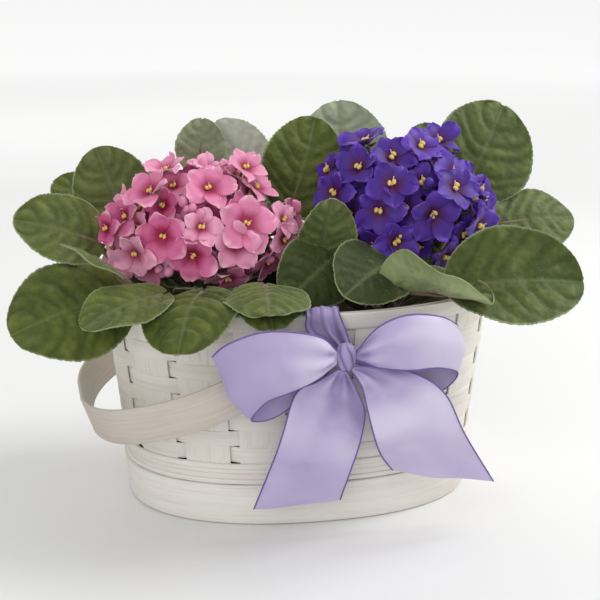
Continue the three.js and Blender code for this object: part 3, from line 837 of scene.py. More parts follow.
@dataclass(frozen=True)
class StalkFinish:
    """Fleshy stalk: green, flushed reddish brown."""

    name: str = "violet stalk"
    green: Colour = (0.13, 0.135, 0.05)
    flush: Colour = (0.16, 0.070, 0.045)

    def material(self) -> Material:
        """Builds the material.

        Returns:
            The material.
        """
        paint = Paint(self.name, 0.5, Sheen_Weight=0.4, Sheen_Roughness=0.4)
        patches = paint.speckle(paint.place(), 90.0, 3.0)
        colour = paint.ramp(patches, [(0.3, self.green), (0.7, self.flush)])
        return paint.done(colour, paint.speckle(paint.place(), 700.0), 0.0003, 0.4)


@dataclass(frozen=True)
class PetalFinish:
    """Velvety petal, deep at the throat and pale at the rim, with faint veins and sparkle."""

    name: str
    throat: Colour
    middle: Colour
    rim: Colour
    back: Colour

    def material(self) -> Material:
        """Builds the material.

        Returns:
            The material.
        """
        paint = Paint(self.name, 0.55, Specular_IOR_Level=0.35, Sheen_Weight=0.4, Sheen_Roughness=0.3,
                      Sheen_Tint=(*(0.5 + 0.5 * v for v in self.rim), 1))
        reach = paint.value("reach")
        mottle = paint.speckle(paint.place(), 160.0, 3.0)
        wander = paint.math("ADD", reach, paint.math("MULTIPLY", paint.math("SUBTRACT", mottle, 0.5), 0.22))
        colour = paint.ramp(wander, [
            (0.20, self.throat), (0.50, self.middle), (0.74, self.middle), (1.0, self.rim)])
        colour = paint.layer(colour, self.throat, "rib", (0.35, 1.0), (0.0, 0.35))
        paler = paint.math("MULTIPLY", paint.value("tone"), paint.span(reach, (0.15, 0.55), (0.10, 0.72)))
        colour = paint.blend(paler, colour, self.rim)
        colour = paint.blend(paint.math("MULTIPLY", paint.value("under"), 0.55), colour, self.back)
        sparkle = paint.speckle(paint.place(), 1500.0, 2.0)
        return paint.done(colour, sparkle, 0.0002, 0.35)


@dataclass(frozen=True)
class PlainFinish:
    """A plain moulded, mealy or metal finish: two colours in soft patches, with a fine relief."""

    name: str
    light: Colour
    dark: Colour
    lumps: float
    roughness: float
    relief: float
    metallic: float = 0.0
    accent: Colour = (0.84, 0.62, 0.58)

    def material(self) -> Material:
        """Builds the material.

        Returns:
            The material.
        """
        paint = Paint(self.name, self.roughness, Metallic=self.metallic)
        place = paint.place()
        patches = paint.speckle(place, self.lumps, 4.0)
        colour = paint.ramp(patches, [(0.32, self.dark), (0.68, self.light)])
        colour = paint.blend(paint.value("tone"), colour, self.accent)
        return paint.done(colour, paint.speckle(place, self.lumps * 4, 3.0), self.relief, 0.6)


@dataclass(frozen=True)
class RibbonFinish:
    """Taffeta ribbon: fine cross threads, soft sheen, and painted highlight and painted shade laid on by the
    fold value.
    """

    name: str
    light: Colour
    dark: Colour
    painted_highlight: Colour = (0.76, 0.71, 0.88)
    shade: Colour = (0.225, 0.165, 0.375)
    crease: Colour = (0.050, 0.030, 0.120)
    sheen: Colour = (0.92, 0.88, 1.0)

    def material(self) -> Material:
        """Builds the material.

        Returns:
            The material.
        """
        paint = Paint(self.name, 0.38, Specular_IOR_Level=0.55, Sheen_Weight=0.4, Sheen_Roughness=0.3,
                      Sheen_Tint=(*self.sheen, 1))
        thread = paint.math("SINE", paint.math("MULTIPLY", paint.value("along"), 11.0))
        warp = paint.math("SINE", paint.math("MULTIPLY", paint.value("across"), 9.0))
        weave = paint.math("MULTIPLY", thread, warp)
        colour = paint.ramp(paint.speckle(paint.place(), 42.0, 2.0), [(0.20, self.dark), (0.55, self.light)])
        for other, source, over, share in (
                # The fold value paints the light: painted highlight on high values, painted shade on low ones,
                # darker painted shade in creases
                (self.painted_highlight, "fold", (0.55, 1.0), (0.0, 0.80)),
                (self.shade, "fold", (0.0, 0.45), (0.75, 0.0)),
                (self.crease, "fold", (-1.0, 0.0), (0.90, 0.0)),
                (self.dark, weave, (-1.0, 1.0), (0.0, 0.10))):
            colour = paint.layer(colour, other, source, over, share)
        # The back face is drawn toward the shade colour: painted shade
        colour = paint.blend(paint.math("MULTIPLY", paint.value("under"), 0.42), colour, self.shade)
        return paint.done(colour, weave, 0.00012, 0.35)


Finish = SplintFinish | HandleFinish | LeafFinish | StalkFinish | PetalFinish | PlainFinish | RibbonFinish


def coat(finish: Finish) -> Material:
    """Returns a field of the palette that builds its material from a finish."""
    return field(default_factory=finish.material)


@dataclass
class Palette:
    """Every material, made once."""

    rings: Material = coat(SplintFinish("splint around", Grain.AROUND))
    stakes: Material = coat(SplintFinish("splint upright", Grain.UPRIGHT))
    band: Material = coat(HandleFinish())
    stalk: Material = coat(StalkFinish())
    pink_leaf: Material = coat(LeafFinish("pink plant leaf"))
    purple_leaf: Material = coat(LeafFinish(
        "purple plant leaf", deep=(0.034, 0.055, 0.007), fresh=(0.108, 0.140, 0.022)))
    pink_petal: Material = coat(PetalFinish(
        "pink petal", throat=(0.34, 0.007, 0.075), middle=(0.62, 0.115, 0.285), rim=(0.88, 0.46, 0.61),
        back=(0.76, 0.34, 0.49)))
    purple_petal: Material = coat(PetalFinish(
        "purple petal", throat=(0.070, 0.005, 0.075), middle=(0.050, 0.011, 0.22), rim=(0.140, 0.055, 0.50),
        back=(0.18, 0.05, 0.28)))
    anther: Material = coat(PlainFinish(
        "anther", light=(0.86, 0.68, 0.20), dark=(0.74, 0.47, 0.07), lumps=900.0, roughness=0.55,
        relief=0.0002))
    fuzz: Material = coat(PlainFinish(
        "leaf hair", light=(0.40, 0.46, 0.24), dark=(0.26, 0.31, 0.13), lumps=200.0, roughness=0.6,
        relief=0.0001))
    plastic: Material = coat(PlainFinish(
        "moulded pot", light=(0.11, 0.145, 0.085), dark=(0.085, 0.115, 0.065), lumps=120.0, roughness=0.45,
        relief=0.0001))
    film: Material = coat(PlainFinish(
        "liner film", light=(0.035, 0.022, 0.015), dark=(0.022, 0.014, 0.010), lumps=60.0, roughness=0.6,
        relief=0.0004))
    compost: Material = coat(PlainFinish(
        "compost", light=(0.060, 0.036, 0.022), dark=(0.018, 0.011, 0.007), lumps=420.0, roughness=0.95,
        relief=0.0012))
    metal: Material = coat(PlainFinish(
        "rivet metal", light=(0.42, 0.37, 0.31), dark=(0.30, 0.26, 0.21), lumps=260.0, roughness=0.45,
        relief=0.0001, metallic=0.8))
    ribbon: Material = coat(RibbonFinish(
        "taffeta", light=(0.475, 0.405, 0.64), dark=(0.43, 0.355, 0.595)))
    ribbon_edge: Material = coat(PlainFinish(
        "ribbon edge", light=(0.185, 0.125, 0.36), dark=(0.13, 0.08, 0.27), lumps=900.0, roughness=0.5,
        relief=0.0003))


# The basket
@dataclass
class Wall:
    """The basket's wall: an oval plan that widens from the table to the rim."""

    height: float = 125.0
    foot: Pair = (98.5, 67.5)
    top: Pair = (113.0, 74.0)
    power: float = 2.3
    stakes: int = 18
    stake_width: float = 27.0
    steps: int = 1440
    lengths: Array = field(init=False)
    girth: float = field(init=False)

    def __post_init__(self) -> None:
        """Measures the plan at half height."""
        middle = ((self.foot[0] + self.top[0]) / 2, (self.foot[1] + self.top[1]) / 2)
        ring = np.array([self.oval(i / self.steps * TURN, middle) for i in range(self.steps + 1)])
        self.lengths = run_lengths(ring)
        self.girth = float(self.lengths[-1])

    def oval(self, angle: float, half: Pair) -> Pair:
        """Finds a point of the plan.

        Args:
            angle: Its angle, in radians.
            half: The plan's half sizes.

        Returns:
            The point.
        """
        c, s = cos(angle), sin(angle)
        bend = 2 / self.power
        return (half[0] * copysign(abs(c) ** bend, c), half[1] * copysign(abs(s) ** bend, s))

    def point(self, share: float, z: float, offset: float = 0.0) -> Array:
        """Finds a point on the wall.

        Args:
            share: The share of the girth round from the +X end.
            z: The height.
            offset: The distance outwards from the wall's middle.

        Returns:
            The point.
        """
        length = (share % 1.0) * self.girth
        after = int(np.searchsorted(self.lengths, length, side="right"))
        before = self.lengths[after - 1]
        part = (length - before) / (self.lengths[after] - before)
        angle = (after - 1 + part) / self.steps * TURN
        rise = z / self.height
        half = (mix(self.foot[0], self.top[0], rise), mix(self.foot[1], self.top[1], rise))
        x, y = self.oval(angle, half)
        nx = copysign(abs(x / half[0]) ** (self.power - 1), x) / half[0]
        ny = copysign(abs(y / half[1]) ** (self.power - 1), y) / half[1]
        size = hypot(nx, ny)
        return np.array([x + nx / size * offset, y + ny / size * offset, z])

    def lean(self, share: float) -> float:
        """Returns how far the wall leans outwards at a share of the girth, in radians."""
        low, high = self.point(share, 0.0), self.point(share, self.height)
        return atan2(float(np.linalg.norm((high - low)[:2])), self.height)

    def share(self, stake: float, side: float = 0.0) -> float:
        """Returns the share of a stake's middle, or of its edge on a side."""
        return (stake + 0.5) / self.stakes + side * self.stake_width / 2 / self.girth


@dataclass(frozen=True)
class Reed:
    """One thin round of a trim: how high its middle is in the trim, its sizes, and its tone."""

    rise: float
    height: float
    thickness: float
    tone: float


TRIMS = {
    "trim_lower": (Reed(1.5, 2.9, 1.9, 0.15), Reed(4.65, 3.4, 1.2, 1.0)),
    "trim_upper": (Reed(1.4, 2.9, 1.5, 0.7), Reed(4.5, 3.4, 2.2, 0.1)),
}


@dataclass
class Basket:
    """The woven basket: base band, trims, stakes, weavers, rims, floor and liner."""

    palette: Palette
    wall: Wall = field(default_factory=Wall)
    strips: Tree = field(default_factory=splint_tree)
    splint: float = 1.0
    clearance: float = 0.8
    base_height: float = 24.0
    base_thickness: float = 2.8
    trim_bottom: float = 24.3
    trim_pitch: float = 6.5
    reed_easing: float = 0.4
    weaver_bottom: float = 37.3
    weaver_pitch: float = 9.8
    weaver_height: float = 9.4
    weavers: int = 8
    weave: float = 1.3
    weave_ease: float = 0.55
    over_stake: float = 0.35
    rim_bottom: float = 115.8
    rim_height: float = 9.2
    rim_thickness: float = 2.0
    ring_steps: int = 216
    seam: float = 0.31
    tone_swing: float = 0.35
    tone_lumps: float = 38.0
    stake_rows: int = 62
    stake_columns: int = 9
    stake_cover: float = 0.97
    stake_press: float = 0.32
    stake_crown: float = 0.25
    stake_sink: float = 0.1
    stake_drop: float = 1.0
    seed: int = 11

    def ring(self, name: str, nodes: Sequence[str], z: float, offset: Callable[[float], float], height: float,
             thickness: float, tone: float, easing: float = 0.35) -> None:
        """Sweeps one strip round the wall.

        Args:
            name: The piece's name.
            nodes: The model's nodes that it stands for.
            z: The height of the strip's middle.
            offset: The distance outwards from the wall at each share of the girth.
            height: The strip's height.
            thickness: The strip's thickness.
            tone: How pink the wash is on this strip.
            easing: The radius of the strip's edges.
        """
        shares = np.arange(self.ring_steps) / self.ring_steps + self.seam
        points = [self.wall.point(s, z, offset(s)) for s in shares]
        edges = [(i, (i + 1) % self.ring_steps) for i in range(self.ring_steps)]
        tones = [tone + self.tone_swing * ripple(p, self.tone_lumps, tone * 9 + z) for p in points]
        mesh = bpy.data.meshes.new(name + " path")
        mesh.from_pydata([(p * MM).tolist() for p in points], edges, [])
        set_values(mesh, "lean", np.array([self.wall.lean(s) for s in shares]))
        set_values(mesh, "tone", np.clip(tones, 0.0, 1.0))
        path = link(name + " path", mesh)
        made = self.strips.run(path, name, height=height * MM, thickness=thickness * MM, easing=easing * MM,
                               material=self.palette.rings)
        soften(made.data, 50)
        discard(path)
        settle(made, nodes)

    def weave_offset(self, row: int, share: float) -> float:
        """Bends a weaver over one stake and under the next.

        Args:
            row: The weaver's row.
            share: The share of the girth.

        Returns:
            How far it stands out there.
        """
        wave = cos(pi * (share * self.wall.stakes - 0.5 + row))
        gentle = copysign(abs(wave) ** self.weave_ease, wave)
        return self.weave * gentle + self.over_stake * max(0.0, wave)

    def stake(self, number: int) -> Skin:
        """Makes one upright stake, which gives a little where each weaver presses on it.

        Args:
            number: Its number round the wall.

        Returns:
            The closed skin.
        """
        rng = np.random.default_rng(self.seed + number)
        tone = float(rng.uniform(0.0, 0.6))
        grid = np.zeros((self.stake_rows, self.stake_columns, 3))
        for i, z in enumerate(np.linspace(0.0, self.wall.height - self.stake_drop, self.stake_rows)):
            row = (z - self.weaver_bottom) / self.weaver_pitch - 0.5
            woven = -0.5 < row < self.weavers - 0.5
            press = -self.stake_press * cos(pi * (row + number)) if woven else 0.0
            for j, side in enumerate(np.linspace(-1, 1, self.stake_columns)):
                crown = self.stake_crown * (1 - side * side)
                share = self.wall.share(number, side * self.stake_cover)
                grid[i, j] = self.wall.point(share, z, self.splint / 2 + press + crown - self.stake_sink)
        return sheet_skin(grid, -self.splint).tagged(tone=tone)

    def make(self) -> None:
        """Makes the whole basket."""
        rng = np.random.default_rng(self.seed)
        self.ring("base_band_wood", ["base_band"], z=self.base_height / 2, height=self.base_height,
                  thickness=self.base_thickness, tone=0.1, easing=0.7,
                  offset=lambda s: self.clearance + self.base_thickness / 2)
        self.make_trims()
        for row in range(self.weavers):
            self.ring(f"weaver_wood_{row + 1}", [f"weaver_{row + 1}"],
                      z=self.weaver_bottom + row * self.weaver_pitch + self.weaver_height / 2,
                      height=self.weaver_height, thickness=self.splint, tone=float(rng.uniform(0, 0.5)),
                      offset=lambda s, row=row: self.weave_offset(row, s))
        numbers = range(self.wall.stakes)
        stakes = to_object("stakes_wood", [self.stake(n) for n in numbers], [self.palette.stakes])
        settle(stakes, [f"stake_{n + 1:02d}" for n in numbers])
        z = self.rim_bottom + self.rim_height / 2
        self.ring("rim_outer_wood", ["rim_outer"], z=z, height=self.rim_height, thickness=self.rim_thickness,
                  tone=0.15, easing=0.6, offset=lambda s: self.clearance + self.rim_thickness / 2)
        self.ring("rim_inner_wood", ["rim_inner"], z=z, height=self.rim_height, thickness=self.splint,
                  tone=0.2, offset=lambda s: -self.clearance - self.splint / 2)
        dress_node("basket_floor", self.palette.rings)
        dress_node("liner", self.palette.film)

    def make_trims(self) -> None:
        """Makes the thin rounds between the base band and the weave."""
        for place, (node, reeds) in enumerate(TRIMS.items()):
            bottom = self.trim_bottom + place * self.trim_pitch
            for number, reed in enumerate(reeds):
                self.ring(f"{node}_reed_{number}", [] if number else [node], z=bottom + reed.rise,
                          height=reed.height, thickness=reed.thickness, tone=reed.tone,
                          easing=reed.thickness * self.reed_easing,
                          offset=lambda s, t=reed.thickness: self.clearance + t / 2)


@dataclass
class Handle:
    """The folded drop handle, a bent flat band, and the rivets that carry it."""

    palette: Palette
    reach: float = 135.0
    hang: float = 20.0
    width: float = 22.0
    thickness: float = 2.0
    edge_depth: float = 0.5
    edge_height: float = 0.6
    end_height: float = 0.55
    sway: float = 0.35
    sway_lumps: float = 60.0
    power: float = 2.7
    spread: float = 92.0
    seat: float = 77.7
    seat_length: float = 7.0
    seat_pitch: float = 2.0
    bow_length: float = 85.0
    pivot_height: float = 101.2
    steps: int = 90
    least_step: float = 0.8
    shaft: float = 1.9
    shaft_inwards: float = 8.15
    flange: float = 4.0
    dome: float = 5.5
    dome_height: float = 1.8
    dome_gap: float = 0.3

    def line(self, reach: float) -> float:
        """Finds the band in plan.

        Args:
            reach: The reach from the pivot.

        Returns:
            How far the band stands from the middle plane.
        """
        across = max(0.0, 1 - (max(reach, 0.0) / self.reach) ** self.power) ** (1 / self.power)
        bowed = smooth((reach - self.seat_length) / (self.bow_length - self.seat_length))
        return self.spread * across - (self.spread - self.seat) * (1 - bowed)

    def path(self) -> Array:
        """Lays out the band in plan.

        Returns:
            Its middle line, from the front end round to the back one.
        """
        count = int((self.width / 2 + self.seat_length) / self.seat_pitch) + 1
        half = [(-self.width / 2 + i * self.seat_pitch, self.seat) for i in range(count)]
        for i in range(1, self.steps + 1):
            reach = self.reach * sin(i / self.steps * pi / 2) ** (2 / self.power)
            if reach > half[-1][0] + self.least_step:
                half.append((reach, self.line(reach)))
        return np.array(half + [(reach, -y) for reach, y in half[-2::-1]])

    def section(self) -> list[Pair]:
        """Lays out the band's section with eased edges.

        Returns:
            Its points, as (outwards, upwards).
        """
        t, w = self.thickness / 2, self.width / 2
        deep, high = self.edge_depth, self.edge_height
        half = [(-t, high - w), (deep - t, -w), (t - deep, -w), (t, high - w), (t, -w / 3), (t, w / 3)]
        return half + [(-out, -up) for out, up in half]

    def make(self) -> None:
        """Makes the band and the rivets."""
        plan = self.path()
        step = np.gradient(plan, axis=0)
        normal = unit(np.stack([step[:, 1], -step[:, 0]], 1))
        length = run_lengths(plan)
        section = self.section()
        points = []
        for run, (reach, y), (nx, ny) in zip(length, plan, normal):
            from_end = min(run, length[-1] - run) / (self.width / 2)
            taper = mix(self.end_height, 1.0, sqrt(max(0.0, 1 - max(0.0, 1 - from_end) ** 2)))
            sway = self.sway * ripple(np.array([run, 0, 0]), self.sway_lumps, 3.0)
            points += [(-(reach + nx * out), y + ny * out, up * taper + sway) for out, up in section]
        turn = Matrix.Rotation(-radians(self.hang), 3, "Y")
        placed = np.array(points) @ np.array(turn).T + UP * self.pivot_height
        values = {"along": np.repeat(length, len(section)),
                  "across": np.tile([up for _, up in section], len(plan))}
        skin = Skin(placed, pipe_faces(len(plan), len(section)), values)
        band = to_object("handle_band", [skin], [self.palette.band], 55)
        settle(band, ["handle"], Body.HANDLE)
        self.make_rivets()

    def make_rivets(self) -> None:
        """Sets a domed rivet at each end of the pivot's axis."""
        inside = self.seat - self.shaft_inwards
        outside = self.seat + self.thickness / 2 + self.dome_gap
        profile = [(0, inside), (self.flange - 0.4, inside), (self.flange, inside + 0.3),
                   (self.flange, inside + 0.9), (self.shaft, inside + 0.95), (self.shaft, outside)]
        profile += [(self.dome * cos(a), outside + self.dome_height * sin(a))
                    for a in np.linspace(0, pi / 2, 8)]
        rivet = to_object("rivet shape", [turned_skin(profile, 28)], [self.palette.metal], 35)
        points = point_cloud("rivet places", [
            (UP * self.pivot_height, (way * pi / 2, 0, 0), 1.0) for way in (1, -1)])
        pair = placing_tree().run(points, "rivets", part=rivet, material=self.palette.metal)
        discard(points, rivet)
        settle(pair, ["front_pivot", "back_pivot"])


@dataclass
class Pots:
    """The growers' pots with their compost."""

    palette: Palette
    spacing: float = 53.0
    foot: float = 36.0
    mouth: float = 49.0
    height: float = 100.0
    wall: float = 1.4
    lip: float = 2.0
    lip_height: float = 8.0
    bottom: float = 4.5
    gap: float = 0.3
    soil_top: float = 97.0
    soil_reaches: tuple[float, ...] = (1.0, 0.96, 0.85, 0.7, 0.55, 0.4, 0.28)
    hole: float = 8.4
    hole_depth: float = 14.0
    mounds: float = 1.6
    grains: float = 0.7
    crumb_density: float = 40000.0
    crumb_sizes: Pair = (0.0006, 0.0016)
    crumb_slant: float = 3.0
    seed: int = 4
    sides: int = 56

    def radius(self, z: float) -> float:
        """Returns the pot's outer radius at a height."""
        return mix(self.foot, self.mouth - self.lip, (z - self.bottom) / self.height)

    def inner(self, z: float) -> float:
        """Returns the compost's radius at a height."""
        return self.radius(z) - self.wall - self.gap

    def pot(self, x: float) -> Skin:
        """Turns one pot with a rolled lip.

        Args:
            x: Where its axis stands.

        Returns:
            The closed skin.
        """
        top = self.bottom + self.height
        low = top - self.lip_height
        profile = [(0, self.bottom), (self.foot - 1, self.bottom), (self.foot, self.bottom + 1),
                   (self.radius(low), low), (self.mouth - 0.6, low), (self.mouth, low + 0.6),
                   (self.mouth, top - 0.8), (self.mouth - 0.8, top), (self.radius(top) - self.wall + 0.3, top),
                   (self.radius(top) - self.wall, top - 0.4), (self.foot - self.wall, self.bottom + self.wall),
                   (0, self.bottom + self.wall)]
        return turned_skin(profile, self.sides, (x, 0, 0))

    def soil(self, x: float) -> Skin:
        """Makes a pot's compost, with an uneven top.

        Args:
            x: Where the pot's axis stands.

        Returns:
            The closed skin.
        """
        low, top = self.bottom + self.wall + self.gap, self.soil_top
        profile = [(0, low), (self.inner(low), low)] + [(self.inner(top) * r, top) for r in self.soil_reaches]
        profile += [(self.hole, top + 1), (self.hole, top - self.hole_depth), (0, top - self.hole_depth)]
        skin = turned_skin(profile, self.sides, (x, 0, 0))
        for number, point in enumerate(skin.points):
            if abs(point[2] - top) < 0.1 and number >= self.sides * 3:
                point[2] += self.mounds * ripple(point, 9.0, 5.0) + self.grains * ripple(point, 3.0, 8.0)
        return skin

    def make(self) -> None:
        """Makes both pots, their compost and its loose crumbs."""
        crumb = to_object("crumb shape", [ball_skin(np.zeros(3), np.eye(3), 5, 3)], [self.palette.compost])
        strewn = strewn_tree()
        least, most = self.crumb_sizes
        for plant, x in (("pink", -self.spacing), ("purple", self.spacing)):
            pot = to_object(f"{plant}_pot_plastic", [self.pot(x)], [self.palette.plastic], 35)
            settle(pot, [f"{plant}_pot"])
            soil = to_object(f"{plant}_compost", [self.soil(x)], [self.palette.compost], 60)
            level = self.soil_top + 0.4
            bed = to_object("crumb bed", [turned_skin([(11, level), (43, level)], 24, (x, 0, 0))],
                            [self.palette.compost])
            crumbs = strewn.run(bed, f"{plant}_crumbs", part=crumb, density=self.crumb_density,
                                seed=self.seed, smallest=least, largest=most, slant=self.crumb_slant,
                                material=self.palette.compost)
            discard(bed)
            settle(soil, [f"{plant}_soil"])
            settle(crumbs)
        discard(crumb)


# The plants
@dataclass(frozen=True)
class Leaf:
    """One leaf: the blade's base and tip, its width, the way its face looks, arch and cup.

    The near half of a blade can also be tucked down toward the tip, or rolled up along its margin.
    Painted light above 0 makes its face paler and greyer, a painted highlight, and below 0 darker, a painted
    shade.
    """

    base: Triple
    tip: Triple
    width: float
    face: Triple
    arch: float
    cup: float
    tuck: float = 0.0
    rolled: float = 0.0
    painted_light: float = 0.0

    def axes(self) -> tuple[Array, Array, Array]:
        """Finds the blade's directions.

        Returns:
            Along, up and sideways.
        """
        along = unit(np.array(self.tip, float) - np.array(self.base, float))
        face = np.array(self.face, float)
        up = unit(face - along * np.dot(face, along))
        return along, up, np.cross(up, along)

    def length(self) -> float:
        """Returns the blade's length."""
        return float(np.linalg.norm(np.array(self.tip) - np.array(self.base)))


PINK_LEAVES = [
    Leaf((-106, -35, 131), (-167, -60, 117), 62, (-0.3, -0.8, 0.55), 4, -3),
    Leaf((-116, -6, 154), (-163, -16, 171), 42, (0.1, -0.8, 0.6), 3, 3),
    Leaf((-98, 30, 156), (-114, 42, 200), 46, (-0.1, -1, 0.3), 2, 3, painted_light=0.3),
    Leaf((-105, 42, 158), (-140, 52, 177), 34, (-0.2, -0.5, 0.8), 3, 3),
    Leaf((-106, -40, 143), (-138, -48, 164), 22, (0.3, 0.1, 0.95), 2, -3),
    Leaf((-84, -50, 133), (-129, -79, 124), 38, (-0.05, -0.35, 1), 4, 1),
    Leaf((-61, -46, 133), (-80, -96, 112), 54, (-0.35, -0.6, 0.75), 7, -4, painted_light=-0.35),
    Leaf((-27, -54, 137), (-31, -94, 131), 47, (0, -0.2, 1), 2, -4),
    Leaf((-28, -60, 130), (-29, -92, 122), 36, (0, -0.4, 0.9), 4, -3),
    Leaf((-53, 41, 184), (-49, 50, 214), 30, (0, -0.95, 0.3), 2, 3, painted_light=0.45),
    Leaf((-15, 46, 175), (-40, 60, 210), 36, (-0.3, -0.8, 0.5), 2, 6, painted_light=1.7),
    Leaf((0, 20, 163), (18, 38, 215), 50, (0, -1, 0.3), 3, 4, painted_light=-0.3),
    Leaf((-92, 46, 140), (-132, 84, 140), 46, (-0.2, 0.3, 0.9), 6, 3),
    Leaf((-60, 52, 142), (-66, 106, 134), 52, (0, 0.4, 0.9), 8, -3),
    Leaf((-26, 44, 148), (-20, 94, 158), 48, (0, 0.2, 1), 6, 3),
    Leaf((-76, 50, 162), (-92, 92, 176), 42, (0, 0.2, 1), 3, 3),
]

PURPLE_LEAVES = [
    Leaf((10, -24, 144), (15, -31, 180), 33, (0.1, -1, 0.25), 2, 3, painted_light=0.55),
    Leaf((20, -24, 146), (-16, -52, 126), 44, (0.25, -0.75, 0.65), 3, 3, painted_light=-1.0),
    Leaf((46, -40, 143), (14, -71, 133), 46, (0.22, -0.58, 0.82), 4, 2, painted_light=-1.1),
    Leaf((38, 44, 175), (36, 60, 221), 54, (0, -0.95, 0.3), 3, 4, painted_light=0.65),
    Leaf((109, 26, 168), (138, 46, 218), 64, (0.1, -1, 0.35), 3, 4, painted_light=0.1),
    Leaf((93, 44, 182), (90, 58, 206), 30, (0, -0.9, 0.4), 2, 3),
    Leaf((126, 10, 151), (178, 20, 151), 42, (0, -0.75, 0.65), 3, -2, painted_light=0.45),
    Leaf((79, -60, 133), (156, -60, 132), 60, (0.12, -0.8, 0.72), 4, 11, tuck=-6),
    Leaf((42, -54, 131), (94, -86, 129), 44, (0.2, 0.4, 1), 2, 17, tuck=-17, rolled=7),
    Leaf((96, 46, 142), (140, 78, 140), 48, (0.2, 0.3, 0.9), 6, 3),
    Leaf((60, 52, 142), (66, 106, 134), 52, (0, 0.4, 0.9), 8, -3),
    Leaf((27, 48, 146), (24, 98, 152), 46, (0, 0.3, 1), 6, 3),
    Leaf((76, 50, 164), (90, 92, 178), 44, (0, 0.2, 1), 3, 3),
    Leaf((68, 22, 128), (92, 30, 160), 48, (0.1, -1, 0.3), 3, 3),
]


